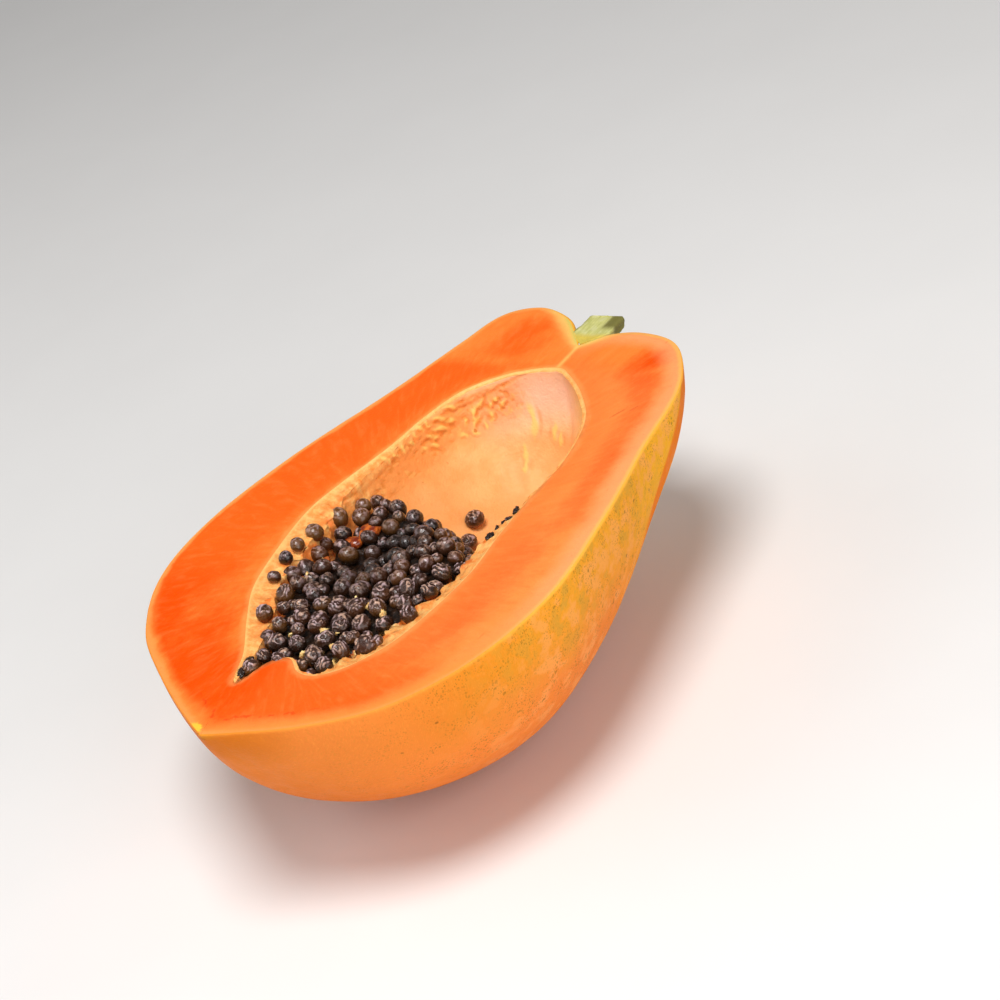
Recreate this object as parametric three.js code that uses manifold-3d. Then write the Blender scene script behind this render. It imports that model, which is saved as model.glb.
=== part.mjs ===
// Half of a large ripe papaya, cut lengthwise through the stem and lying on its belly, cut face up.
// Three pieces: the fruit (flesh and skin), the half of the stem left in its pit, and the heap of
// seeds that fills the blossom half of the hollow. All sizes are in millimetres.
//
// Shapes are worked out in the fruit's own frame: the blossom tip is the origin, +X runs along the
// cut face to the stem, +Y is its fuller side and +Z comes out of the cut face. The group then
// stands them on the resting patch under the belly.
import * as THREE from "three";
import { mergeVertices } from "three/addons/utils/BufferGeometryUtils.js";
import Module from "manifold-3d";

const { clamp, lerp } = THREE.MathUtils;
const wasm = await Module();
wasm.setup();

// ------------------------------------------------------------------ the fruit's outside
// Stations from the blossom tip to the bottom of the stem pit. left and right are [x, half width]
// of the cut face on its +Y and -Y sides, belly is [x, depth] below it.
const STATIONS = [
  { left: [0, 0], right: [0, 0], belly: [0, 0] },
  { left: [6, 10.5], right: [2.6, 11.4], belly: [4, 9] },
  { left: [24.2, 37.1], right: [9.4, 33.8], belly: [16, 31.5] },
  { left: [43.8, 60.2], right: [22.6, 56.6], belly: [34, 52.5] },
  { left: [69.5, 76.4], right: [47.6, 72.4], belly: [58, 67] },
  { left: [100, 81.6], right: [82, 78.2], belly: [92, 75.8] },
  { left: [140.2, 75.3], right: [122.4, 72.2], belly: [132, 71.5] },
  { left: [183.9, 60.4], right: [159.4, 63.4], belly: [171, 57] },
  { left: [213.3, 52.1], right: [187, 58], belly: [192, 42] },
  { left: [232.6, 45.9], right: [206, 49], belly: [205, 29] },
  { left: [238.4, 32.4], right: [219, 37], belly: [217, 18] },
  { left: [232.5, 17], right: [224, 21], belly: [223, 12.5] },
  { left: [223, 7], right: [222, 8], belly: [222, 6] },
  { left: [215, 0], right: [215, 0], belly: [215, 0] },
];
const LENGTH_STEPS = 44;
const ROUND_STEPS = 24;
const SLIM = 0.022; // how much slimmer than half an ellipse a section is between its rim and belly
// Five soft ribs run lengthwise, one of them along the +Y edge of the cut face. Each swells by a
// share of the radius, more towards the stem, where it also reaches further past the pit.
const RIBS = 5;
const RIB_SWELL = 0.012;
const RIB_SWELL_AT_STEM = 0.035;
const RIBS_GROW_FROM = 0.55; // shares of the way from the tip to the pit
const RIBS_GROWN_BY = 0.8;
const RIB_REACH = 5;
const RIB_REACH_SPAN = 0.3; // share of the way over which the reach comes and goes, up to the pit
const RIB_FADE = 0.7; // how soon the ribs fade towards the cut face
const REST_X = 104; // the resting patch lies under this x
const REST_FLAT = 1.4; // depth that the patch takes off the belly
const FAR = 300; // a distance beyond every piece

// ------------------------------------------------------------------ the hollow
// Its edge in the cut face: x, y and the width of the spongy shelf just inside it. The edge runs
// from the slit at the blossom end along the +Y side to the stem end and back along the -Y side.
const HOLLOW_EDGE = [
  [25, 6, 0.2],
  [39, 13.5, 4],
  [55, 25, 8],
  [71, 35, 8],
  [90, 40.5, 9],
  [112, 44, 9],
  [128, 42, 6],
  [150, 37, 2.5],
  [170, 34.5, 1.5],
  [186, 29, 1.5],
  [197, 16, 1.5],
  [200.8, 0, 1.5],
  [196, -9, 1.5],
  [185, -21, 1.5],
  [170, -32, 1.5],
  [148, -38, 1.5],
  [126, -38.5, 2.5],
  [106, -40, 7],
  [88, -42.3, 9],
  [70, -41.2, 10],
  [52, -37.8, 12],
  [39, -30.5, 12],
  [32.4, -21.5, 5],
  [33.2, -13.2, 1.5],
  [38.9, -5.5, 1],
  [36, 0.8, 0.6],
];
const EDGE_STEPS = 110;
const WALL_RINGS = 8;
const KEEL = [new THREE.Vector2(64, 0), new THREE.Vector2(160, -1)]; // ends of its level floor
const FAN_X = [48, 180]; // the walls beyond these x fan out from the keel's ends
const WALL_END = 0.93; // share of a quarter turn at which the walls meet the floor
const HOLLOW_DEPTH = 38;
const HOLLOW_OVERSHOOT = 6; // how far its cutting solid stands above the cut face
const SHELF_STEP = 0.3; // drop of the shelf's inner edge below the cut face, and its slope
const SHELF_SLOPE = 0.12;
const CREASES = 27; // torn folds round the shelf
const CREASE_DEPTH = 0.09; // drop of a fold, as a share of the shelf's width
// The seed-bearing ridge along both walls.
const RIDGE_HEIGHT = 1.1;
const RIDGE_ANGLE = 0.55;
const RIDGE_SPREAD = 0.16;
const RIDGE_KNOBS = 21;
const RIDGE_KNOB_DEPTH = 0.35; // share of the ridge's height that dips between two knobs

// ------------------------------------------------------------------ the stem
// Profile of the stem: distance along the fruit's axis and radius.
const STEM_PROFILE = [
  [215.6, 0],
  [219.5, 4.6],
  [223, 8.1],
  [225.4, 8],
  [227, 7.3],
  [233.4, 7.5],
  [234.2, 6.9],
  [234.2, 0],
];
const STEM_SIDES = 28;
const GAP = 0.3; // clearance between the stem and the pit

// ------------------------------------------------------------------ the seeds
const RANDOM_START = 20417;
const SEED_RADIUS = 3.05;
const SEED_RADIUS_SPREAD = 1.5;
const SEED_SIZE_FALL = 0.3; // how fast the sizes fall from throw to throw, the largest first
const SEED_NARROW = 0.93;
const SEED_FLATTEN = 0.84;
const SEED_TRIES = 4200;
const SEED_SPACING = 1.12; // closest two seeds lie, as a share of the sum of their radii
const SEED_LIFT = 1.2; // height of a seed's centre above the heap's core
const SEED_TURN = 3; // most a seed is turned about each axis, in radians
const HEAP_GAP = 0.5; // clearance between the heap and the hollow's wall
const HEAP_BOX = { x0: 30, x1: 158, y0: -44, y1: 44 };
const HEAP_GRID = 6.8;
const HEAP_ROOT = -HOLLOW_DEPTH - 2; // bottom of the core before the hollow trims it
const HEAP_ROOM_TOP = 12; // top of the room that the heap is trimmed to
// Height of the heap's core below the cut face, its dark valley and its slope down to the +Y side,
// which comes in between two stations along x.
const HEAP_LEVEL = -2.6;
const VALLEY = { x: 106, y: 10, rx: 23, ry: 15, depth: 9 };
const SIDE_SLOPE = { from: 66, to: 108, slope: 0.17 };
// Towards the stem the heap ends in a steep front, whose bowed line slants across the hollow.
const FRONT = { start: 116, skew: 0.59, bow: 0.0067, width: 13, drop: 36 };
const WALL_LIFT = 0.8; // height of a leaning seed's centre above the wall, as a share of its radius
const WALL_SEED_DROP = 0.4; // a seed may sit this far above the heap where it leans on the wall
const STRAGGLER_DROP = 1.9;
const STRAGGLER_SHARE = 0.2;
const STRAGGLER_FROM = { x: 76, y: -5 }; // stragglers lie beyond this, on the fuller side
// Seeds away from the heap, stuck to the wall: x, y and radius.
const STRAY_SEEDS = [
  [154.5, 16, 3.1],
  [144.5, 12.5, 3],
];
// Squashed seeds and torn bits stuck to the shelf and in the slit: x, y, length and turn.
const SEED_BITS = [
  [107.3, -35.7, 3.6, 0.3],
  [112.6, -34.8, 2.2, 0.6],
  [117.6, -36, 3, 0.1],
  [121.6, -36.4, 3.4, 0.2],
  [30.7, 8.1, 4.2, 0.5],
  [36, 9.5, 4.6, 0.6],
];
const STRAY_LIFT = 0.75; // height of a stray's centre above the wall, as a share of its radius
const BIT_LIFT = 0.2;
const BIT_WIDTH = 0.42;
const BIT_HEIGHT = 0.3;

// ------------------------------------------------------------------ helpers
// The solid bounded by triangles (index triples) over points.
function solid(points, triangles) {
  const geometry = new THREE.BufferGeometry().setFromPoints(points);
  geometry.setIndex(triangles.flat());
  return solidOf(geometry);
}

// A three.js geometry as a solid: only its positions count, and those that coincide are merged.
function solidOf(geometry) {
  const bare = new THREE.BufferGeometry();
  bare.setAttribute("position", geometry.getAttribute("position"));
  bare.setIndex(geometry.index);
  const merged = mergeVertices(bare, 1e-4);
  const triVerts = [];
  for (let i = 0; i < merged.index.count; i += 3) {
    const [a, b, c] = merged.index.array.slice(i, i + 3);
    if (a !== b && b !== c && c !== a) triVerts.push(a, b, c);
  }
  const mesh = new wasm.Mesh({
    numProp: 3,
    vertProperties: new Float32Array(merged.attributes.position.array),
    triVerts: new Uint32Array(triVerts),
  });
  return new wasm.Manifold(mesh);
}

// A solid as a three.js geometry with flat shading.
function geometryOf(made) {
  const { numProp, vertProperties, triVerts } = made.getMesh();
  const positions = new Float32Array((vertProperties.length / numProp) * 3);
  for (let i = 0; i < positions.length / 3; i++)
    positions.set(vertProperties.subarray(i * numProp, i * numProp + 3), i * 3);
  const indexed = new THREE.BufferGeometry();
  indexed.setAttribute("position", new THREE.BufferAttribute(positions, 3));
  indexed.setIndex(new THREE.BufferAttribute(triVerts, 1));
  const flat = indexed.toNonIndexed();
  flat.computeVertexNormals();
  return flat;
}

function largestPiece(made) {
  return made.decompose().sort((a, b) => b.volume() - a.volume())[0];
}

// Triangles between two neighbouring rows of points, whose first indices are a and b.
function strip(a, b, length, closed) {
  const triangles = [];
  for (let j = 0; j < (closed ? length : length - 1); j++) {
    const next = (j + 1) % length;
    triangles.push([a + j, b + j, b + next], [a + j, b + next, a + next]);
  }
  return triangles;
}

// Triangles that fill the outline whose points have these indices, facing up or down.
function cap(points, indices, facingUp) {
  const outline = indices.map((i) => new THREE.Vector2(points[i].x, points[i].y));
  const turned = THREE.ShapeUtils.isClockWise(outline) ? [...indices].reverse() : indices;
  const flat = turned.map((i) => new THREE.Vector2(points[i].x, points[i].y));
  return THREE.ShapeUtils.triangulateShape(flat, []).map(([a, b, c]) =>
    facingUp ? [turned[a], turned[b], turned[c]] : [turned[a], turned[c], turned[b]],
  );
}

// Seeded random numbers from 0 to 1, so that every build lays the same seeds.
function randomFrom(start) {
  let state = start;
  return () => {
    state = (Math.imul(state, 1664525) + 1013904223) >>> 0;
    return state / 4294967296;
  };
}

// ------------------------------------------------------------------ fruit
function bodySolid() {
  const curve = (side) => new THREE.SplineCurve(STATIONS.map((s) => new THREE.Vector2(...s[side])));
  const left = curve("left");
  const right = curve("right");
  const belly = curve("belly");
  const rowLength = ROUND_STEPS + 1;
  const points = [new THREE.Vector3(0, 0, 0)];
  for (let i = 1; i < LENGTH_STEPS; i++) {
    const t = i / LENGTH_STEPS;
    const below = belly.getPoint(t);
    const grown = clamp((t - RIBS_GROW_FROM) / (RIBS_GROWN_BY - RIBS_GROW_FROM), 0, 1);
    const swell = lerp(RIB_SWELL, RIB_SWELL_AT_STEM, grown);
    const fromPit = Math.min(1, (1 - t) / RIB_REACH_SPAN);
    const reach = RIB_REACH * grown * Math.sin(Math.PI * fromPit);
    for (let j = 0; j < rowLength; j++) {
      const angle = (Math.PI * j) / ROUND_STEPS;
      const across = j === ROUND_STEPS / 2 ? 0 : Math.cos(angle);
      const down = j === ROUND_STEPS ? 0 : Math.sin(angle);
      const side = (across >= 0 ? left : right).getPoint(t);
      const rib = down ** RIB_FADE * Math.cos(RIBS * angle);
      const x = lerp(below.x, side.x, across * across) + reach * rib;
      const swollen = 1 + swell * rib - SLIM * (2 * across * down) ** 2;
      points.push(new THREE.Vector3(x, side.y * across * swollen, -below.y * down * swollen));
    }
  }
  const pit = points.length;
  points.push(new THREE.Vector3(...STATIONS.at(-1).belly, 0));

  const triangles = [];
  const rows = LENGTH_STEPS - 1;
  const first = (row) => 1 + row * rowLength;
  for (let row = 0; row < rows - 1; row++)
    triangles.push(...strip(first(row), first(row + 1), rowLength, false));
  for (let j = 0; j < ROUND_STEPS; j++) {
    triangles.push([0, first(0) + j, first(0) + j + 1]);
    triangles.push([first(rows - 1) + j, pit, first(rows - 1) + j + 1]);
  }
  const leftEdge = Array.from({ length: rows }, (_, row) => first(row));
  const rightEdge = leftEdge.map((i) => i + ROUND_STEPS).reverse();
  triangles.push(...cap(points, [0, ...leftEdge, pit, ...rightEdge], true));
  return solid(points, triangles);
}

// Points of the hollow's edge with the inward direction there; z of a point is the shelf's width.
function hollowEdge() {
  const loop = new THREE.CatmullRomCurve3(
    HOLLOW_EDGE.map(([x, y, shelf]) => new THREE.Vector3(x, y, shelf)),
    true,
    "catmullrom",
    0.5,
  );
  return Array.from({ length: EDGE_STEPS }, (_, i) => {
    const u = i / EDGE_STEPS;
    const ahead = loop.getPoint((u + 1 / EDGE_STEPS) % 1);
    const behind = loop.getPoint((u - 1 / EDGE_STEPS + 1) % 1);
    const inward = new THREE.Vector2(ahead.y - behind.y, behind.x - ahead.x).normalize();
    return { u, at: loop.getPoint(u), inward };
  });
}

// The hollow as a solid that stands top above the cut face. Its walls are drawn in by inset.
function hollowSolid(inset, top) {
  const edge = hollowEdge();
  const points = [];
  const addRing = (place) => edge.forEach((e) => points.push(place(e)));
  const along = (e, distance) => new THREE.Vector2(e.at.x, e.at.y).addScaledVector(e.inward, distance);

  for (const height of [top, inset])
    addRing((e) => {
      const p = along(e, inset);
      return new THREE.Vector3(p.x, p.y, height);
    });
  for (let ring = 0; ring <= WALL_RINGS; ring++) {
    const angle = (ring / WALL_RINGS) * WALL_END * (Math.PI / 2);
    addRing((e) => {
      const shelf = e.at.z;
      const fold = shelf * CREASE_DEPTH * (1 + Math.cos(2 * Math.PI * CREASES * e.u));
      const drop = SHELF_STEP + SHELF_SLOPE * shelf + fold - inset;
      const lip = along(e, shelf + inset);
      const share = clamp((e.at.x - FAN_X[0]) / (FAN_X[1] - FAN_X[0]), 0, 1);
      const keel = KEEL[0].clone().lerp(KEEL[1], share);
      const floor = HOLLOW_DEPTH - inset;
      const bump = RIDGE_HEIGHT * Math.exp(-(((angle - RIDGE_ANGLE) / RIDGE_SPREAD) ** 2));
      const knob = 1 - RIDGE_KNOB_DEPTH * (1 - Math.cos(2 * Math.PI * RIDGE_KNOBS * e.u));
      const inner = keel.clone().lerp(lip, Math.cos(angle));
      inner.addScaledVector(e.inward, bump * knob);
      return new THREE.Vector3(inner.x, inner.y, -drop - (floor - drop) * Math.sin(angle));
    });
  }
  const rings = WALL_RINGS + 3;
  const triangles = [];
  for (let ring = 0; ring < rings - 1; ring++)
    triangles.push(...strip((ring + 1) * EDGE_STEPS, ring * EDGE_STEPS, EDGE_STEPS, true));
  const ringIndices = (ring) => edge.map((_, j) => ring * EDGE_STEPS + j);
  triangles.push(...cap(points, ringIndices(0), true));
  triangles.push(...cap(points, ringIndices(rings - 1), false));
  return solid(points, triangles);
}

// The lathe of the stem, grown all round by a clearance, lying along the fruit's axis.
function stemSolid(clearance) {
  const middle = (STEM_PROFILE[0][0] + STEM_PROFILE.at(-1)[0]) / 2;
  const profile = STEM_PROFILE.map(([along, radius]) => {
    const grownRadius = radius > 0 ? radius + clearance : 0;
    return new THREE.Vector2(grownRadius, along + clearance * Math.sign(along - middle));
  });
  const lathe = new THREE.LatheGeometry(profile, STEM_SIDES);
  lathe.rotateZ(-Math.PI / 2); // from the lathe's own axis, Y, to X
  return solidOf(lathe);
}

// A box between two corners.
function boxSolid(low, high) {
  const size = new THREE.Vector3(...high).sub(new THREE.Vector3(...low));
  const box = new THREE.BoxGeometry(size.x, size.y, size.z);
  box.translate(low[0] + size.x / 2, low[1] + size.y / 2, low[2] + size.z / 2);
  return solidOf(box);
}

// A seed with few sides: a ball with uneven axes, turned by three angles.
function seedSolid(centre, axes, turn) {
  const ball = new THREE.OctahedronGeometry(1, 1);
  ball.scale(...axes);
  ball.applyQuaternion(new THREE.Quaternion().setFromEuler(turn));
  ball.translate(centre.x, centre.y, centre.z);
  return solidOf(ball.setIndex([...Array(ball.attributes.position.count).keys()]));
}

// ------------------------------------------------------------------ the heap of seeds
function heapHeight(x, y) {
  const valley = ((x - VALLEY.x) / VALLEY.rx) ** 2 + ((y - VALLEY.y) / VALLEY.ry) ** 2;
  const past = Math.max(0, x - FRONT.skew * y + FRONT.bow * y * y - FRONT.start);
  const front = FRONT.drop * (1 - Math.exp(-((past / FRONT.width) ** 2)));
  const along = clamp((x - SIDE_SLOPE.from) / (SIDE_SLOPE.to - SIDE_SLOPE.from), 0, 1);
  const side = Math.max(0, y) * SIDE_SLOPE.slope * along;
  return HEAP_LEVEL - side - front - VALLEY.depth * Math.exp(-valley);
}

// The core of the heap before the hollow trims it: a block up to the heap's height.
function heapCore() {
  const { x0, x1, y0, y1 } = HEAP_BOX;
  const nx = Math.round((x1 - x0) / HEAP_GRID);
  const ny = Math.round((y1 - y0) / HEAP_GRID);
  const block = new THREE.BoxGeometry(x1 - x0, y1 - y0, 2, nx, ny, 1);
  block.translate((x0 + x1) / 2, (y0 + y1) / 2, 0);
  const place = block.attributes.position;
  for (let i = 0; i < place.count; i++) {
    const top = Math.max(heapHeight(place.getX(i), place.getY(i)), HEAP_ROOT + 1);
    place.setZ(i, place.getZ(i) > 0 ? top : HEAP_ROOT);
  }
  return solidOf(block);
}

// Seeds laid over the heap by throwing darts: a seed stays where it has room.
function heapSeeds() {
  const random = randomFrom(RANDOM_START);
  const { x0, x1, y0, y1 } = HEAP_BOX;
  const seeds = [];
  for (let i = 0; i < SEED_TRIES; i++) {
    const radius = SEED_RADIUS + SEED_RADIUS_SPREAD * (0.5 - (i / SEED_TRIES) ** SEED_SIZE_FALL);
    const x = lerp(x0, x1, random());
    const y = lerp(y0, y1, random());
    const [roll, pitch, yaw] = [random(), random(), random()].map((share) => SEED_TURN * share);
    const turn = new THREE.Euler(roll, pitch, yaw);
    const chance = random();
    const wall = wallHeight(x, y);
    if (wall === null) continue;
    const heap = heapHeight(x, y);
    const above = wall - heap;
    if (above > STRAGGLER_DROP) continue;
    const aside = x > STRAGGLER_FROM.x && y > STRAGGLER_FROM.y;
    const straggles = aside && chance < STRAGGLER_SHARE;
    if (above > WALL_SEED_DROP && !straggles) continue;
    const centre = new THREE.Vector3(x, y, Math.max(heap + SEED_LIFT, wall + WALL_LIFT * radius));
    const clear = seeds.every(
      (s) => s.centre.distanceTo(centre) > SEED_SPACING * (s.radius + radius),
    );
    if (clear) seeds.push({ centre, radius, turn });
  }
  return seeds;
}

// ------------------------------------------------------------------ assembly
const hollow = hollowSolid(0, HOLLOW_OVERSHOOT);
const hollowMesh = new THREE.Mesh(
  geometryOf(hollow),
  new THREE.MeshBasicMaterial({ side: THREE.DoubleSide }),
);

// Height of the hollow's wall or floor under (x, y), or null outside the hollow.
function wallHeight(x, y) {
  const from = new THREE.Vector3(x, y, -FAR);
  const hits = new THREE.Raycaster(from, new THREE.Vector3(0, 0, 1)).intersectObject(hollowMesh);
  return hits.length ? hits[0].point.z : null;
}

// The fruit without the hollow and the stem's room, flattened at the height of its resting patch.
function fruitSolid() {
  const body = bodySolid();
  const heights = body.getMesh().vertProperties.filter((_, i) => i % 3 === 2);
  const patch = Math.min(...heights) + REST_FLAT;
  const underPatch = boxSolid([-FAR, -FAR, -FAR], [FAR, FAR, patch]);
  const bare = body.subtract(hollow).subtract(stemSolid(GAP)).subtract(underPatch);
  const fruit = stuckSeeds(0).reduce((made, seed) => made.add(seed), bare);
  return { solid: largestPiece(fruit), patch };
}

// The stray seeds and bits on the hollow's wall, grown by a clearance.
function stuckSeeds(clearance) {
  const strays = STRAY_SEEDS.map(([x, y, radius]) => {
    const centre = new THREE.Vector3(x, y, wallHeight(x, y) + STRAY_LIFT * radius);
    const axes = [radius, radius * SEED_NARROW, radius * SEED_FLATTEN].map((a) => a + clearance);
    return seedSolid(centre, axes, new THREE.Euler());
  });
  const bits = SEED_BITS.map(([x, y, length, turn]) => {
    const centre = new THREE.Vector3(x, y, wallHeight(x, y) + BIT_LIFT);
    const axes = [length / 2, length * BIT_WIDTH, length * BIT_HEIGHT].map((a) => a + clearance);
    return seedSolid(centre, axes, new THREE.Euler(0, 0, turn));
  });
  return [...strays, ...bits];
}

// The core with its seeds, trimmed clear of the wall and of what is stuck to it.
function heapSolid() {
  let heap = heapCore();
  for (const { centre, radius, turn } of heapSeeds()) {
    const axes = [radius, radius * SEED_NARROW, radius * SEED_FLATTEN];
    heap = heap.add(seedSolid(centre, axes, turn));
  }
  heap = heap.intersect(hollowSolid(HEAP_GAP, HEAP_ROOM_TOP));
  for (const seed of stuckSeeds(HEAP_GAP)) heap = heap.subtract(seed);
  return largestPiece(heap);
}

const fruit = fruitSolid();
const belowCut = boxSolid([-FAR, -FAR, -FAR], [FAR, FAR, 0]);
const stem = stemSolid(0).intersect(belowCut);
const heap = heapSolid();

const pieces = [
  { name: "fruit", made: fruit.solid, colour: 0xf08a2c, roughness: 0.5 },
  { name: "stem", made: stem, colour: 0xc3c67c, roughness: 0.75 },
  { name: "seeds", made: heap, colour: 0x241c19, roughness: 0.35 },
];

const group = new THREE.Group();
for (const { name, made, colour, roughness } of pieces) {
  const material = new THREE.MeshStandardMaterial({ color: colour, roughness, metalness: 0 });
  const mesh = new THREE.Mesh(geometryOf(made), material);
  mesh.name = name;
  mesh.position.set(-REST_X, 0, -fruit.patch);
  group.add(mesh);
}

export default group;
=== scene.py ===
"""The looks of a papaya half lying cut face up: flesh and skin, stem stub, heap of seeds.

Shapes are worked out in millimetres in the fruit's own frame: the blossom tip is the origin, +X runs
along the cut face to the stem, +Y is the fuller side and +Z comes out of the cut face. to_row() puts
them into the frame's metres.
"""
import math

import bmesh
import bpy
import numpy as np
from mathutils import Euler, Matrix, Vector, noise
from mathutils.bvhtree import BVHTree
from mathutils.kdtree import KDTree


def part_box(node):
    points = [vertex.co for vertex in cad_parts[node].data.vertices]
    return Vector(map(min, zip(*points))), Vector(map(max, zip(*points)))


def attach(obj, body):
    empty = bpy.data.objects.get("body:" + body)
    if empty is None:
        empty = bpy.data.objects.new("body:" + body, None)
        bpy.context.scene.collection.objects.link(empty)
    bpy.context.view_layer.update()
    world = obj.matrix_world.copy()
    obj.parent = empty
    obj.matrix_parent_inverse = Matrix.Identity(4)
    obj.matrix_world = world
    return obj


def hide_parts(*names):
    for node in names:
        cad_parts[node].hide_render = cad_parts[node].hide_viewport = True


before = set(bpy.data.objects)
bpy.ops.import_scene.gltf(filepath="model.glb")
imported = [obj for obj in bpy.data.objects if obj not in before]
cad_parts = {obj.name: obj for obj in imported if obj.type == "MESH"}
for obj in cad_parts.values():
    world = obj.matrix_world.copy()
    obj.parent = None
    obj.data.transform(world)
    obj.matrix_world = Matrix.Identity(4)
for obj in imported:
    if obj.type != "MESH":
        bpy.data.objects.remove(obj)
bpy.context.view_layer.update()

MM = 0.001
SKIN, FLESH, WALL = 0, 1, 2  # the fruit's materials
TIP = Vector((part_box("fruit")[0].x, 0.0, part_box("stem")[1].z))  # the blossom tip in the frame

# ------------------------------------------------------------------ the fruit's outside, in mm
# Stations from the blossom tip to the bottom of the stem pit: [x, half width] of the cut face on
# its +Y and -Y sides, and [x, depth] of the belly.
LEFT = [(0, 0), (6, 10.5), (24.2, 37.1), (43.8, 60.2), (69.5, 76.4), (100, 81.6), (140.2, 75.3),
        (183.9, 60.4), (213.3, 52.1), (232.6, 45.9), (238.4, 32.4), (232.5, 17), (223, 7), (215, 0)]
RIGHT = [(0, 0), (2.6, 11.4), (9.4, 33.8), (22.6, 56.6), (47.6, 72.4), (82, 78.2), (122.4, 72.2),
         (159.4, 63.4), (187, 58), (206, 49), (219, 37), (224, 21), (222, 8), (215, 0)]
BELLY = [(0, 0), (4, 9), (16, 31.5), (34, 52.5), (58, 67), (92, 75.8), (132, 71.5), (171, 57),
         (192, 42), (205, 29), (217, 18), (223, 12.5), (222, 6), (215, 0)]
LENGTH_STEPS = 300
ROUND_STEPS = 120
SLIM = 0.022  # how much slimmer than half an ellipse a section is between its rim and belly
RIBS = 5
RIB_SWELL = 0.012
RIB_SWELL_AT_STEM = 0.035
RIBS_GROW_FROM = 0.55
RIBS_GROWN_BY = 0.8
RIB_REACH = 5
RIB_REACH_SPAN = 0.3
RIB_FADE = 0.7
RIM_BEVEL = 0.45  # radius of the cut edge
RIM_DEPTHS = (0, 0.08, 0.2, 0.42)  # depths of the skin's first rows below the cut face
SKIN_DENT = 0.28  # depth of the skin's soft unevenness

# ------------------------------------------------------------------ the hollow, in mm
# Its edge in the cut face: x, y and the width of the spongy shelf just inside it.
HOLLOW_EDGE = [(25, 6, .2), (39, 13.5, 4), (55, 25, 8), (71, 35, 8), (90, 40.5, 9), (112, 44, 9),
               (128, 42, 6), (150, 37, 2.5), (170, 34.5, 1.5), (186, 29, 1.5), (197, 16, 1.5),
               (200.8, 0, 1.5), (196, -9, 1.5), (185, -21, 1.5), (170, -32, 1.5), (148, -38, 1.5),
               (126, -38.5, 2.5), (106, -40, 7), (88, -42.3, 9), (70, -41.2, 10), (52, -37.8, 12),
               (39, -30.5, 12), (32.4, -21.5, 5), (33.2, -13.2, 1.5), (38.9, -5.5, 1), (36, .8, .6)]
EDGE_STEPS = 2000
STEM_END = 11 / 26  # share of the edge's loop at which it passes the stem end
EDGE_LENGTH = 420  # rough length of the edge, which turns its share into mm
ALONG_LENGTH = 160  # its length as the fibres that run away from it count it
FLESH_RINGS = 14  # rings of points on the cut flesh, on the shelf and on the wall below it
SHELF_RINGS = 14
WALL_RINGS = 66
WALL_CROWDING = 1.3  # above 1, the rings crowd towards the lip
KEEL = np.array([(64, 0), (160, -1)], float)  # the line on the floor that the wall closes on
FAN_X = (48, 180)  # the part of the edge that is spread along the keel
WALL_END = 0.975  # share of a quarter turn at which the wall's last ring lies
HOLLOW_DEPTH = 38
SHELF_STEP = 0.3
SHELF_SLOPE = 0.12
CREASES = 27  # round the whole edge
CREASE_DEPTH = 0.09
SHELF_TEAR = 0.55  # depth of the shelf's fine tears
LIP_RAG = 0.13  # unevenness of the lip, as a share of the shelf's width
SLIT_DEPTH = 0.45  # depth of the torn slits along the lip
SLIT_SPACING = 8
SLIT_WIDTH = 0.16
FLESH_WAVE = 0.09  # half the swing of the cut face
FAR_AWAY = 50  # stands for the distance to a line that is on another surface
# The ridge below the shelf, with its angle down the wall and its knobs round the edge.
RIDGE_HEIGHT = 1.1
RIDGE_ANGLE = 0.55
RIDGE_SPREAD = 0.16
RIDGE_KNOBS = 21
RIDGE_KNOB_DEPTH = 0.35
# Torn stubs of seed stalks that stand on the wall: x, y, z, half length, half width, height and
# their lean from the way down the wall towards the stem, in degrees.
STALKS = [
    (145.3, 35.6, -1.6, 1.8, 0.8, 0.7, 20), (149.3, 35.0, -2.2, 1.6, 0.7, 0.7, 30),
    (153.2, 34.5, -2.6, 1.9, 0.8, 0.8, 10), (157.6, 34.1, -3.2, 1.8, 0.7, 0.8, 25),
    (160.6, 34.0, -1.9, 1.4, 0.7, 0.6, 40), (164.0, 33.8, -1.6, 1.8, 0.8, 0.7, 15),
    (167.1, 33.4, -1.9, 1.8, 0.7, 0.8, 35), (166.8, 32.8, -6.6, 3.0, 0.9, 1.3, 62),
    (170.8, 32.2, -6.2, 3.6, 0.9, 1.3, 58), (172.7, 32.2, -3.2, 3.2, 0.9, 1.1, 60),
    (175.3, 31.3, -5.6, 3.0, 0.8, 1.0, 55), (177.9, 30.9, -2.2, 2.6, 0.8, 0.8, 60),
    (166.0, 32.6, -9.6, 2.2, 0.9, 1.0, 65), (162.0, 33.4, -8.0, 1.6, 0.7, 0.6, 50),
    (184.1, 27.3, -8.0, 3.2, 0.8, 1.1, -40), (183.1, 27.0, -11.0, 2.6, 0.8, 1.0, -50),
    (189.9, 22.6, -7.4, 3.0, 0.7, 1.0, -60), (191.2, 20.4, -9.0, 2.8, 0.7, 0.9, -60),
    (187.0, 23.4, -11.6, 2.0, 0.8, 0.9, -20), (180.9, 26.9, -14.0, 1.8, 0.7, 0.7, 40),
    (177.1, 28.9, -12.7, 1.8, 0.7, 0.7, 50), (186.2, 25.6, -6.0, 2.8, 0.8, 0.9, -55),
    (180.2, 28.8, -9.0, 1.6, 0.7, 0.7, -30), (184.6, 24.8, -13.6, 1.5, 0.6, 0.6, 20),
    (193.2, 11.6, -16.6, 6.5, 1.3, 0.6, 0), (192.2, 3.2, -20.3, 3.2, 1.1, 0.5, 10),
    (191.4, 0.6, -22.6, 2.8, 1.0, 0.5, -15), (185.9, 13.0, -25.2, 3.4, 0.9, 0.4, 5),
    (182.6, 12.2, -28.4, 2.6, 0.9, 0.4, -10),
]
STALK_HEIGHT = 0.65  # share of those heights at which they stand
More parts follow.
